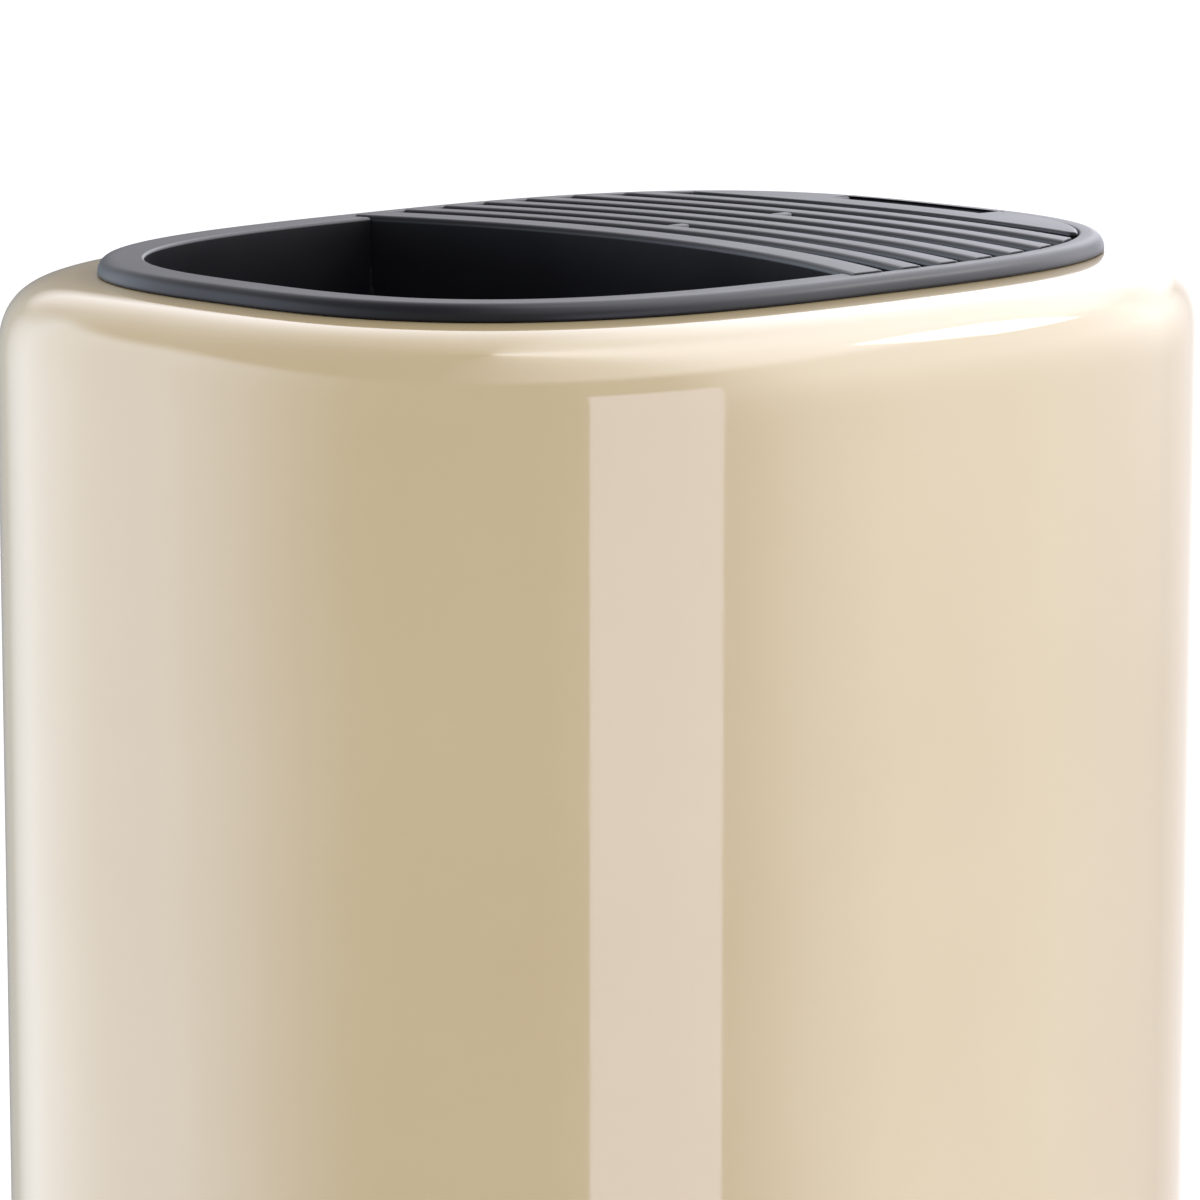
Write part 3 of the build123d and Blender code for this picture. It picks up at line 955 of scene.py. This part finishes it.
@dataclass
class LipRim:
    """Raised lip of the insert, with its skirt and the ledge under the grille."""

    material: bpy.types.Material
    base: float = 227.77
    crown: float = 230.4
    crown_inset: float = 2.15
    land: float = 7.0
    rebate: float = 4.0
    skirt_out: float = 2.7
    skirt_in: float = 4.7
    skirt_bottom: float = 213.5
    groove_in: float = 3.5
    groove_low: float = 219.1
    groove_high: float = 222.1
    floor: float = 222.4
    ledge_bottom: float = 219.4
    ledge_in: float = 9.0
    arc: float = 129.8

    def shared(self) -> list[tuple[float, float]]:
        """Part of the section that runs all round, from the skirt's inside to the crown's inside."""
        bead = round_corner((-self.crown_inset, self.base + 0.25),
                            (self.crown_inset, self.crown - self.base - 0.25),
                            0, 90, 2.15, 14)
        return [
            (-self.skirt_in, self.ledge_bottom), (-self.skirt_in, self.skirt_bottom + 0.4),
            (-self.skirt_in + 0.4, self.skirt_bottom), (-self.skirt_out - 0.6, self.skirt_bottom),
            (-self.skirt_out, self.skirt_bottom + 1.2), (-self.skirt_out, self.groove_low),
            (-self.groove_in, self.groove_low), (-self.groove_in, self.groove_high),
            (-self.skirt_out, self.groove_high), (-self.skirt_out, self.base - 0.1),
            (-self.skirt_out + 0.1, self.base), (-0.3, self.base), (-0.08, self.base + 0.07), *bead,
            (-3.1, self.crown - 0.02),
        ]

    def build(self) -> bpy.types.Object:
        """Makes the rim as one closed mesh, stepped down where the grille lies in it."""
        high = self.crown - 0.12
        top_end = (-self.rebate + 0.45, self.crown - 0.045)
        wide_top = [(-self.rebate, self.crown - 0.06), (-self.land + 0.5, high)]
        wide_edge = round_corner((-self.land + 0.5, high - 0.5), (0.5, 0.5), 90, 180, 2.0, 6)[1:]
        wide = wide_top + wide_edge + [(-self.land, self.base + 0.03), (-self.skirt_in, self.base + 0.03),
                                       (-self.skirt_in, self.floor)]
        narrow_edge = round_corner((-self.rebate + 0.45, self.crown - 0.045 - 0.45), (0.45, 0.45), 90, 180,
                                   2.0, 5)[1:]
        narrow = narrow_edge + [(-self.rebate, self.floor), (-self.skirt_in, self.floor),
                                (-self.ledge_in, self.floor), (-self.ledge_in, self.ledge_bottom)]
        maker = MeshMaker()
        for side, own, count in ((Side.UTENSIL, wide, 200), (Side.KNIFE, narrow, 240)):
            section = self.shared() + [top_end] + own
            rows = [lift(PLAN.stretch(grow, side, self.arc, count), z) for grow, z in section]
            maker.add(rows, ring=False, wrap=True)
        for end in (0, -1):
            step = [top_end, *wide, (-self.rebate, self.floor), *reversed(narrow_edge)]
            ledge = [(-self.skirt_in, self.floor), (-self.ledge_in, self.floor),
                     (-self.ledge_in, self.ledge_bottom), (-self.skirt_in, self.ledge_bottom)]
            for face in (step, ledge):
                maker.polygon([(*PLAN.stretch(grow, Side.KNIFE, self.arc, 240)[end], z) for grow, z in face])
        piece = maker.build("lip_rim")
        keep_flats(piece)
        return finish_piece(piece, "insert", self.material, ["insert_rim"])


@dataclass
class KnifeGrille:
    """Curved ribs with knife slots between them, held by a lower frame at their ends."""

    material: bpy.types.Material
    fit: float = -4.08
    frame_inside: float = -7.8
    top: float = 230.6
    underside: float = 222.4
    frame_top: float = 228.1
    divider: float = 130.0
    first_rib: float = 6.5
    rib_width: float = 4.6
    slot_width: float = 3.0
    slots: int = 7
    corner: float = 1.0
    plate_edge: float = 0.6
    slot_edge: float = 1.2
    blunt_turn: float = 0.01
    blunt_reach: float = 1.0
    tie_width: float = 2.4
    tie_shift: float = 9.0
    tied_slots: tuple[int, ...] = (1, 4)
    short_gap: float = 9.8
    short_from: float = -12.4
    short_to: float = 17.6

    def rib_rows(self) -> tuple[list[float], list[float]]:
        """Middle radius of each rib, and half the width that it has over a plain rib."""
        radii = [self.divider + self.first_rib / 2]
        extra = [(self.first_rib - self.rib_width) / 2]
        start = self.divider + self.first_rib + self.slot_width
        for index in range(self.slots - 1):
            radii.append(start + index * (self.rib_width + self.slot_width) + self.rib_width / 2)
            extra.append(0.0)
        return radii, extra

    def build_ribs(self) -> bpy.types.Object:
        """Makes the ribs from the bent-bar tree, with their rounded lower corners below the underside."""
        radii, extra = self.rib_rows()
        half = [self.rib_width / 2 + e for e in extra]
        base = point_cloud(
            "rib_places", np.zeros((len(radii), 3)), {
                "rib_radius": [r * MM for r in radii], "rib_extra": [e * MM for e in extra],
                "turn_inner": [PLAN.half_angle(self.fit, r - h) for r, h in zip(radii, half)],
                "turn_outer": [PLAN.half_angle(self.fit, r + h) for r, h in zip(radii, half)],
            },
        )
        piece = bake(
            "knife_ribs", base, ribs_tree(), {
                "Rib Width": self.rib_width * MM,
                "Rib Height": (self.top - self.underside + self.corner) * MM,
                "Corner Radius": self.corner * MM, "Stations": 73, "Arc Centre": PLAN.divider_centre * MM,
                "Underside": (self.underside - self.corner) * MM, "Material": self.material,
            },
            edge=0.3,
        )
        keep_flats(piece)
        return finish_piece(piece, "insert", self.material, ["knife_grille"])

    def plate_loops(self) -> tuple[np.ndarray, np.ndarray]:
        """Outer loop of the end plate, and the loop of its short slot."""
        near = self.divider + self.first_rib + self.slots * self.slot_width
        near += (self.slots - 1) * self.rib_width
        blunt = PLAN.half_angle(self.fit, near) - self.blunt_turn
        end = PLAN.crossing(self.fit, near + self.blunt_reach)
        rim = PLAN.at(np.linspace(-end, end, 90), self.fit)
        loop = np.concatenate([rim, PLAN.arc(near, blunt, -blunt, 70)])
        middle = near - self.slot_width / 2 + self.short_gap
        low, high = middle - self.slot_width / 2, middle + self.slot_width / 2
        ends = [math.asin(y / middle) for y in (self.short_from, self.short_to)]
        slot = np.concatenate([PLAN.arc(low, *ends, 28), PLAN.arc(high, *reversed(ends), 28)])
        return loop, slot

    def build_frame(self) -> bpy.types.Object:
        """Makes the end plate, the lower frame and the ties as one piece."""
        maker = MeshMaker()
        loop, slot = self.plate_loops()
        maker.slab(loop, self.underside, self.top, self.plate_edge, [slot], self.slot_edge)
        soft = round_corner((self.frame_inside + 0.4, self.frame_top - 0.4), (0.4, 0.4), 180, 90, 2.0, 3)
        section = [(self.fit, self.underside), (self.frame_inside, self.underside), *soft,
                   (self.fit, self.frame_top)]
        maker.swept(section, Side.KNIFE, self.divider + 0.3, 220)
        first = self.divider + self.first_rib + self.slot_width / 2
        for index in self.tied_slots:
            radius = first + index * (self.rib_width + self.slot_width)
            x = PLAN.divider_centre + math.sqrt(radius**2 - self.tie_shift**2)
            reach, half = self.slot_width / 2 + 0.9, self.tie_width / 2
            corners = np.array([(-reach, -half), (reach, -half), (reach, half), (-reach, half)])
            maker.slab(corners + np.array([x, self.tie_shift]), self.underside, self.top - 0.05, 1.0)
        piece = maker.build("grille_end_plate")
        keep_flats(piece)
        return finish_piece(piece, "insert", self.material, ["knife_grille"])

    def build(self) -> list[bpy.types.Object]:
        """Makes the ribs and the frame."""
        return [self.build_ribs(), self.build_frame()]


@dataclass
class UtensilCup:
    """Deep open cup whose curved wall divides it from the knives."""

    material: bpy.types.Material
    wall: float = 2.1
    inside: float = -7.0
    divider: float = 130.0
    top: float = 222.4
    rim: float = 227.83
    floor: float = 65.4
    underside: float = 62.9
    bottom_radius: float = 3.0
    flange: float = 3.7
    flange_bottom: float = 219.4

    def corner(self, z: float) -> float:
        """Radius of the upright corner at a height; it opens out below the grille."""
        share = min(max((z - 150.0) / 71.0, 0.0), 1.0)
        return 4.0 - 3.1 * share * share * (3 - 2 * share)

    def wall_rows(self, grow: float, radius: float, add: float, low: float) -> list[np.ndarray]:
        """Loops of one skin of the cup, from its bottom edge to its top.

        Args:
            grow: distance of the skin from the outline.
            radius: radius of the divider for this skin.
            add: how much larger the upright corners are.
            low: height of the bottom of this skin.

        Returns:
            Loops, from the bottom up.
        """
        rows = []
        for turn in np.radians(np.linspace(0, 90, 9)):
            shrink = self.bottom_radius * (1 - math.sin(turn))
            z = low + self.bottom_radius * (1 - math.cos(turn))
            rows.append(lift(PLAN.cup_loop(grow - shrink, radius - shrink, 4.0 + add - shrink), z))
        for z in (110.0, 150.0, *np.linspace(156.0, 221.0, 13), self.top):
            rows.append(lift(PLAN.cup_loop(grow, radius, self.corner(z) + add), z))
        return rows

    def build(self) -> bpy.types.Object:
        """Makes the cup, its raised rim wall and the flange that carries the first rib."""
        maker = MeshMaker()
        outer = self.wall_rows(self.inside + self.wall, self.divider + self.wall, self.wall, self.underside)
        inner = self.wall_rows(self.inside, self.divider, 0.0, self.floor)
        index = maker.add(outer + inner[::-1], ring=True)
        maker.cap(index[0])
        maker.cap(index[-1])
        out = self.inside + self.wall
        section = [(out, self.top - 0.3), (out, self.rim), (self.inside, self.rim),
                   (self.inside, self.top - 0.3)]
        maker.swept(section, Side.UTENSIL, self.divider - 0.2, 200)
        low, high = self.divider + self.wall - 0.3, self.divider + self.wall + self.flange
        turn = PLAN.half_angle(out, high) - 0.004
        loop = np.concatenate([PLAN.arc(high, -turn, turn, 80), PLAN.arc(low, turn, -turn, 80)])
        maker.slab(loop, self.flange_bottom, self.top - 0.02, 0.3)
        piece = maker.build("utensil_cup_body")
        return finish_piece(piece, "insert", self.material, ["utensil_cup"])


@dataclass
class StuddedMat:
    """Soft mat with low studs that keep tips and handles from rattling."""

    material: bpy.types.Material
    name: str
    node_name: str
    body: str
    side: Side
    grow: float
    radius: float
    low: float
    thickness: float = 2.0
    stud_radius: float = 1.1
    stud_height: float = 0.7
    pitch: float = 4.6

    def loop(self, more: float) -> np.ndarray:
        """Plan of the mat, moved in by more."""
        if self.side is Side.UTENSIL:
            return PLAN.cup_loop(self.grow - more, self.radius - more, 3.0)
        end = PLAN.crossing(self.grow - more, self.radius + more)
        turn = PLAN.half_angle(self.grow - more, self.radius + more)
        rim = PLAN.at(np.linspace(-end, end, 150), self.grow - more)
        return np.concatenate([rim, PLAN.arc(self.radius + more, turn, -turn, 90)[1:-1]])

    def places(self) -> np.ndarray:
        """Staggered stud centres inside the mat, clear of its edge."""
        edge = self.loop(2.2)
        low, high = edge.min(0), edge.max(0)
        made = []
        rise = self.pitch * math.sqrt(3) / 2
        for row in range(int((high[1] - low[1]) / rise) + 1):
            y = low[1] + row * rise
            for column in range(int((high[0] - low[0]) / self.pitch) + 1):
                x = low[0] + (column + 0.5 * (row % 2)) * self.pitch
                ax, ay = edge[:, 0], edge[:, 1]
                bx, by = np.roll(ax, -1), np.roll(ay, -1)
                cut = (ay > y) != (by > y)
                cross = ax[cut] + (y - ay[cut]) * (bx[cut] - ax[cut]) / (by[cut] - ay[cut])
                if np.sum(cross > x) % 2:
                    made.append((x, y, self.low + self.thickness - self.stud_height))
        return np.array(made)

    def build(self) -> bpy.types.Object:
        """Makes the mat and stands the studs on it."""
        maker = MeshMaker()
        maker.slab(self.loop(0.0), self.low, self.low + self.thickness - self.stud_height, 0.4)
        body = maker.build(self.name + "_body")
        places = point_cloud(self.name + "_places", self.places())
        piece = bake(
            self.name, body, studs_tree(), {
                "Places": places, "Stud Radius": self.stud_radius * MM, "Stud Height": self.stud_height * MM,
                "Material": self.material,
            },
        )
        bpy.data.objects.remove(places)
        return finish_piece(piece, self.body, self.material, [self.node_name])


@dataclass
class RimSeal:
    """Soft ring in the skirt's groove, which centres the insert in the neck."""

    material: bpy.types.Material
    grow: float = -3.0
    middle: float = 220.6
    width: float = 0.96
    height: float = 2.9

    def build(self) -> bpy.types.Object:
        """Runs the strip round the skirt."""
        points = lift(PLAN.at(np.arange(320) / 320, self.grow), self.middle)
        mesh = bpy.data.meshes.new("seal_path")
        mesh.from_pydata([tuple(c * MM for c in p) for p in points], [(i, (i + 1) % 320) for i in range(320)],
                         [])
        base = bpy.data.objects.new("seal_path", mesh)
        bpy.context.scene.collection.objects.link(base)
        piece = bake(
            "rim_seal", base, bead_tree(), {
                "Strip Width": self.width * MM, "Strip Height": self.height * MM, "Corner Radius": 0.35 * MM,
                "Material": self.material,
            },
        )
        return finish_piece(piece, "insert", self.material, ["rim_gasket"])


@dataclass
class ScrewSet:
    """Cross-recessed screws, all alike, on a set of points."""

    material: bpy.types.Material
    name: str
    node_name: str
    body: str
    slot: Slot
    places: Sequence[tuple[float, float]]
    head_low: float
    head_radius: float
    head_height: float
    shank_radius: float
    shank_top: float
    countersunk: bool
    seed: int = 7

    def one_screw(self) -> bpy.types.Object:
        """Makes one screw with its head down and a cross recess in it."""
        r, h, s, t = self.head_radius, self.head_height, self.shank_radius, self.shank_top - self.head_low
        if self.countersunk:
            turned = [(r, 0.0), (r, 0.35), (s, h - 0.2), (s, t - 1.2), (s * 0.35, t)]
        else:
            turned = [(r * 0.72, 0.0), (r * 0.93, h * 0.3), (r, h * 0.7), (r, h), (s, h), (s, t - 1.2),
                      (s * 0.35, t)]
        count = 24
        turn = np.arange(count) * 2 * math.pi / count
        rows = [np.stack([q * np.cos(turn), q * np.sin(turn), np.full(count, z)], 1) for q, z in turned]
        reach, half, depth = r * 0.55, r * 0.13, min(0.9, h * 0.55)
        cross = [(reach, -half), (reach, half), (half, half), (half, reach), (-half, reach), (-half, half),
                 (-reach, half), (-reach, -half), (-half, -half), (-half, -reach), (half, -reach),
                 (half, -half)]
        shape = np.array(cross)
        maker = MeshMaker()
        index = maker.add(rows, ring=True)
        maker.cap(index[-1])
        sunk = maker.add([lift(shape, 0.0), lift(shape * 0.8, depth)], ring=True)
        maker.cap(index[0], sunk[0])
        maker.cap(sunk[1])
        return maker.build(self.name + "_one")

    def build(self) -> bpy.types.Object:
        """Sets a screw on every point."""
        one = self.one_screw()
        base = point_cloud(self.name + "_places", np.array([(x, y, self.head_low) for x, y in self.places]))
        piece = bake(
            self.name, base, copies_tree(),
            {"Piece": one, "Size": 1.0, "Turn": math.pi, "Seed": self.seed, "Material": self.material},
        )
        bpy.data.objects.remove(one)
        return finish_piece(piece, self.body, self.material, [self.node_name])


@dataclass
class RubberFeet:
    """Four soft feet, each with a ringed sole and a barbed stem through the pan."""

    material: bpy.types.Material
    x: float = 62.0
    y: float = 41.0
    radius: float = 8.0
    height: float = 2.5
    stem: float = 2.9
    barb: float = 3.8
    barb_low: float = 4.5
    barb_height: float = 2.5

    def one_foot(self) -> bpy.types.Object:
        """Makes one foot about the origin by turning its section."""
        r, h = self.radius, self.height
        turned = [(1.6, 0.7), (2.4, 0.0), (3.6, 0.0), (4.1, 0.5), (4.7, 0.5), (5.2, 0.0), (r - 0.7, 0.0),
                  (r - 0.2, 0.2), (r, 0.7), (r, h - 0.3), (r - 0.3, h), (self.stem, h),
                  (self.stem, self.barb_low), (self.barb, self.barb_low), (self.barb, self.barb_low + 0.3),
                  (self.stem, self.barb_low + self.barb_height)]
        count = 48
        turn = np.arange(count) * 2 * math.pi / count
        rows = [np.stack([q * np.cos(turn), q * np.sin(turn), np.full(count, z)], 1) for q, z in turned]
        maker = MeshMaker()
        index = maker.add(rows, ring=True)
        maker.cap(index[0])
        maker.cap(index[-1])
        return maker.build("foot_one")

    def build(self) -> bpy.types.Object:
        """Sets a foot at each corner."""
        one = self.one_foot()
        corners = [(sx * self.x, sy * self.y, 0.0) for sx in (-1, 1) for sy in (-1, 1)]
        base = point_cloud("foot_places", np.array(corners))
        piece = bake(
            "rubber_feet", base, copies_tree(),
            {"Piece": one, "Size": 1.0, "Turn": 0.0, "Seed": 3, "Material": self.material},
        )
        bpy.data.objects.remove(one)
        nodes = ["foot_front_left", "foot_front_right", "foot_back_left", "foot_back_right"]
        return finish_piece(piece, "vessel", self.material, nodes)


# What glossy surfaces reflect. Turns are in degrees from the camera's side to the right. RING_STOPS are
# linear colours near the horizon, over half of them at turns worked out for columns of the photograph.
# SKY_STOPS are brightnesses overhead. The values were set against colours read from the photograph.
RING_STOPS = [
    (-180, (0.8, 0.8, 0.85)), (-175, (0.22, 0.22, 0.24)), (-150, (0.7, 0.8, 0.9)), (-130, (2.8, 3.1, 3.6)),
    (-112, (3.6, 3.9, 4.5)), (-96, (3.7, 4.0, 4.8)), (-80, (3.2, 3.4, 4.1)), (-60, (2.1, 2.3, 2.6)),
    (-42, (1.4, 1.5, 1.5)), (-27, (1.3, 1.3, 1.3)), (15, (1.3, 1.3, 1.3)), (30, (1.8, 1.8, 1.8)),
    (62, (2.1, 2.1, 2.3)), (78, (3.7, 3.7, 3.9)), (88, (4.3, 4.3, 4.5)), (99, (4.0, 4.0, 4.3)),
    (112, (2.9, 2.9, 3.4)), (131, (1.6, 1.6, 1.9)), (150, (1.6, 1.6, 1.8)), (170, (2.8, 2.8, 3.1)),
    (176, (1.9, 1.9, 2.1)), (180, (0.8, 0.8, 0.85)),
]
SKY_STOPS = [
    (-180, 2.2), (-165, 1.7), (-140, 1.4), (-110, 1.0), (-60, 0.8), (-20, 0.9), (5, 2.4), (25, 3.8),
    (50, 5.2), (65, 6.8), (80, 8.2), (105, 8.4), (130, 7.0), (150, 5.2), (170, 3.8), (180, 2.2),
]
PEAK = 10.0
STRIP = (5.2, 5.2, 6.4)


@dataclass
class Studio:
    """Pale floor, even light and the camera of the photograph."""

    heading: float = 44.2
    distance: float = 931.8
    elevation: float = 6.58
    crown: float = 230.4
    lens: float = 184.5
    lower: float = 3.331
    aside: float = 0.087
    fill: float = 0.8
    floor_colour: str = "#f4f3f1"

    def directions(self) -> tuple[Vector, Vector]:
        """Level directions to the picture's right and away from the camera."""
        turn = math.radians(self.heading)
        return Vector((math.cos(turn), -math.sin(turn), 0)), Vector((math.sin(turn), math.cos(turn), 0))

    def build_camera(self) -> None:
        """Places the camera so that the lip lies in the frame as it does in the photograph."""
        right, away = self.directions()
        rise = math.radians(self.elevation)
        centre = Vector((0, 0, self.crown * MM))
        place = centre + (Vector((0, 0, math.sin(rise))) - away * math.cos(rise)) * self.distance * MM
        pitch, yaw = math.radians(-self.elevation - self.lower), math.radians(self.aside)
        level = away * math.cos(yaw) - right * math.sin(yaw)
        look = level * math.cos(pitch) + Vector((0, 0, math.sin(pitch)))
        data = bpy.data.cameras.new("photo_camera")
        data.lens, data.sensor_width = self.lens, 36.0
        data.clip_start, data.clip_end = 0.05, 30.0
        camera = bpy.data.objects.new("photo_camera", data)
        camera.location = place
        camera.rotation_mode = "QUATERNION"
        camera.rotation_quaternion = look.to_track_quat("-Z", "Y")
        bpy.context.scene.collection.objects.link(camera)
        bpy.context.scene.camera = camera

    def build_world(self) -> None:
        """Even light for matt surfaces, and softboxes that only glossy reflections see."""
        right, away = self.directions()
        world = bpy.data.worlds.new("studio_world")
        world.use_nodes = True
        bpy.context.scene.world = world
        tree = world.node_tree
        tree.nodes.clear()
        ray = node(tree, "ShaderNodeTexCoord").outputs["Generated"]
        side = node(tree, "ShaderNodeVectorMath", {0: ray, 1: right}, operation="DOT_PRODUCT")
        front = node(tree, "ShaderNodeVectorMath", {0: ray, 1: -away}, operation="DOT_PRODUCT")
        turn = node(
            tree, "ShaderNodeMath", {0: side.outputs["Value"], 1: front.outputs["Value"]}, operation="ARCTAN2"
        )
        share = node(tree, "ShaderNodeMapRange", {0: turn.outputs[0], 1: -math.pi, 2: math.pi})
        ring, sky = (
            ramp(node(tree, "ShaderNodeValToRGB", {0: share.outputs[0]}), stops).outputs["Color"]
            for stops in (
                [((a + 180) / 360, tuple(c / PEAK for c in rgb) + (1.0,)) for a, rgb in RING_STOPS],
                [((a + 180) / 360, (v / PEAK, v / PEAK, v * 1.08 / PEAK, 1.0)) for a, v in SKY_STOPS],
            )
        )
        up = node(tree, "ShaderNodeSeparateXYZ", {0: ray}).outputs["Z"]
        turned = turn.outputs[0]
        back = node(tree, "ShaderNodeMath", {0: turned}, operation="ABSOLUTE").outputs[0]
        fades = {
            name: node(
                tree, "ShaderNodeMapRange", dict(enumerate((source, *numbers))), interpolation_type=curve
            ).outputs[0]
            for name, source, curve, numbers in (
                ("rise", up, "LINEAR", (sine(-11), sine(10), 0.0, 0.75)),
                ("right_side", turned, "LINEAR", (0.9, 1.4, 0.0, 1.0)),
                ("not_back", turned, "LINEAR", (2.2, 2.6, 1.0, 0.0)),
                ("behind", back, "LINEAR", (2.3, 2.8, 0.0, 1.0)),
                ("over_lip", up, "LINEAR", (sine(12), sine(18), 0.0, 1.0)),
                ("overhead", up, "SMOOTHSTEP", (sine(26), sine(36), 0.0, 1.0)),
                ("strip_top", up, "LINEAR", (sine(10.5), sine(13), 1.0, 0.0)),
                ("ground", up, "LINEAR", (sine(-34), sine(-20), 1.0, 0.0)),
            )
        }
        fades["strip_side"] = node(
            tree, "ShaderNodeMath", {0: turned, 1: math.radians(45), 2: math.radians(16)}, operation="COMPARE"
        ).outputs[0]
        shown = ring
        for names, colour in (
            (("right_side", "not_back", "rise"), (0.7, 0.7, 0.74, 1.0)),
            (("behind", "over_lip"), sky),
            (("overhead",), sky),
            (("strip_side", "strip_top"), tuple(c / PEAK for c in STRIP) + (1.0,)),
            (("ground",), (0.09, 0.09, 0.09, 1.0)),
        ):
            share_of = fades[names[0]]
            for name in names[1:]:
                share_of = node(
                    tree, "ShaderNodeMath", {0: share_of, 1: fades[name]}, operation="MULTIPLY"
                ).outputs[0]
            shown = node(
                tree, "ShaderNodeMix", {0: share_of, 6: shown, 7: colour}, data_type="RGBA"
            ).outputs[2]
        scaled = node(tree, "ShaderNodeVectorMath", {0: shown, "Scale": PEAK},
                      operation="SCALE")
        path = node(tree, "ShaderNodeLightPath")
        clear = node(
            tree, "ShaderNodeMath",
            {0: path.outputs["Is Camera Ray"], 1: path.outputs["Is Transmission Ray"]}, operation="MAXIMUM",
        )
        even = node(
            tree, "ShaderNodeMix",
            {0: clear.outputs[0], 6: (self.fill, self.fill, self.fill, 1.0), 7: (1.0, 1.0, 1.0, 1.0)},
            data_type="RGBA",
        )
        final = node(
            tree, "ShaderNodeMix",
            {0: path.outputs["Is Glossy Ray"], 6: even.outputs[2], 7: scaled.outputs[0]}, data_type="RGBA",
        )
        light = node(tree, "ShaderNodeBackground", {"Color": final.outputs[2], "Strength": 1.0})
        node(tree, "ShaderNodeOutputWorld", {"Surface": light.outputs[0]})

    def build_floor(self) -> None:
        """Wide pale floor that takes the shadow and shows white to the camera."""
        mesh = bpy.data.meshes.new("studio_floor")
        reach = 9.0
        corners = [(-reach, -reach, 0), (reach, -reach, 0), (reach, reach, 0), (-reach, reach, 0)]
        mesh.from_pydata(corners, [], [(0, 1, 2, 3)])
        floor = bpy.data.objects.new("studio_floor", mesh)
        bpy.context.scene.collection.objects.link(floor)
        floor.visible_glossy = False
        material = bpy.data.materials.new("floor_white_board")
        material.use_nodes = True
        shader = material.node_tree.nodes["Principled BSDF"]
        shader.inputs["Base Color"].default_value = linear(self.floor_colour)
        shader.inputs["Roughness"].default_value = 0.9
        shader.inputs["Specular IOR Level"].default_value = 0.1
        shader.inputs["Emission Color"].default_value = (1.0, 1.0, 1.0, 1.0)
        path = node(material.node_tree, "ShaderNodeLightPath")
        shown = node(
            material.node_tree, "ShaderNodeMath", {0: path.outputs["Is Camera Ray"], 1: 0.3},
            operation="MULTIPLY"
        )
        material.node_tree.links.new(shown.outputs[0], shader.inputs["Emission Strength"])
        mesh.materials.append(material)

    def add_lamp(self, name: str, turn: float, rise: float, away_mm: float, size_mm: float, watts: float,
                 colour: str) -> None:
        """Adds a soft lamp that the camera does not see.

        Args:
            name: name of the lamp.
            turn: degrees from the camera's side towards the picture's right.
            rise: degrees above the horizon.
            away_mm: distance from the vessel's top.
            size_mm: side of the lamp.
            watts: power.
            colour: sRGB hex colour.
        """
        right, away = self.directions()
        data = bpy.data.lights.new(name, "AREA")
        data.size = size_mm * MM
        data.energy = watts
        data.color = linear(colour)[:3]
        lamp = bpy.data.objects.new(name, data)
        t, e = math.radians(turn), math.radians(rise)
        level = right * math.sin(t) - away * math.cos(t)
        point = level * math.cos(e) + Vector((0, 0, math.sin(e)))
        lamp.location = Vector((0, 0, 0.2)) + point * away_mm * MM
        lamp.rotation_mode = "QUATERNION"
        lamp.rotation_quaternion = point.to_track_quat("Z", "Y")
        lamp.visible_camera = False
        bpy.context.scene.collection.objects.link(lamp)

    def build(self) -> None:
        """Sets up camera, floor, world and lamps."""
        self.build_camera()
        self.build_floor()
        self.build_world()
        self.add_lamp("key_softbox", 105, 33, 1400, 300, 3.5, "#fffaf2")
        scene = bpy.context.scene
        scene.view_settings.view_transform = "Standard"
        LOG.info("studio ready")


def grille_screw_places() -> list[tuple[float, float]]:
    """Screws through the rim's ledge round the two knife-side corners, and through the cup's flange."""
    places = []
    for turn in (0.037, 0.131):
        x, y = PLAN.at(np.array([turn]), -6.6)[0]
        places += [(x, y), (x, -y)]
    x, y = PLAN.arc(133.95, math.radians(12), math.radians(12), 1)[0]
    return [*places, (x, y), (x, -y)]


def pan_screw_places() -> list[tuple[float, float]]:
    """Screws from the pan into the four brackets."""
    return [(81.4, 0.0), (-81.4, 0.0), (0.0, 61.8), (0.0, -61.8)]


def main() -> None:
    """Builds the studio and every sub-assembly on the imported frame."""
    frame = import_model()
    Studio().build()

    enamel = GlossEnamel().build()
    insert = MouldedPlastic("abs_spark_eroded_black", "#111114", "#16161a", roughness=0.33,
                            sheen=0.15).build()
    liner = MouldedPlastic("polypropylene_moulded_black", "#141416", "#1a1a1d", roughness=0.5).build()
    pan = MouldedPlastic("polypropylene_pan_black", "#161618", "#1d1d20", roughness=0.48,
                         grain_mm=0.6).build()
    mat = SoftRubber("tpe_mat_moulded", "#1f1f21", "#2b2b2e").build()
    seal = SoftRubber("tpe_seal_extruded", "#18181a", "#232325", skin_mm=0.4).build()
    foot = SoftRubber("tpe_foot_moulded", "#1b1b1c", "#262628").build()
    plated = ZincPlatedSteel("steel_zinc_plated_pressed", "#c9cbce", "#a9acb1").build()
    screw = ZincPlatedSteel("steel_screw_zinc_plated", "#bfc2c6", "#9a9da2", roughness=0.3).build()

    EnamelVessel(enamel).build()
    LipRim(insert).build()
    KnifeGrille(insert).build()
    UtensilCup(insert).build()
    StuddedMat(mat, "cup_mat", "utensil_mat", "insert", Side.UTENSIL, -10.5, 126.5, 65.4).build()
    StuddedMat(mat, "bin_mat", "tip_mat", "vessel", Side.KNIFE, -11.8, 135.3, 6.5).build()
    RimSeal(seal).build()
    ScrewSet(
        screw, "grille_screws", "insert_screws", "insert", Slot.SCREW, grille_screw_places(),
        217.8, 1.8, 1.6, 1.1, 226.4, False,
    ).build()
    ScrewSet(
        screw, "pan_screws", "base_screws", "vessel", Slot.SCREW, pan_screw_places(),
        4.5, 3.5, 2.6, 1.75, 12.0, True,
    ).build()
    RubberFeet(foot).build()
    dress_node(frame, "base_pan", pan)
    dress_node(frame, "base_brackets", plated)
    dress_node(frame, "knife_bin", liner)


if __name__ == "__main__":
    main()
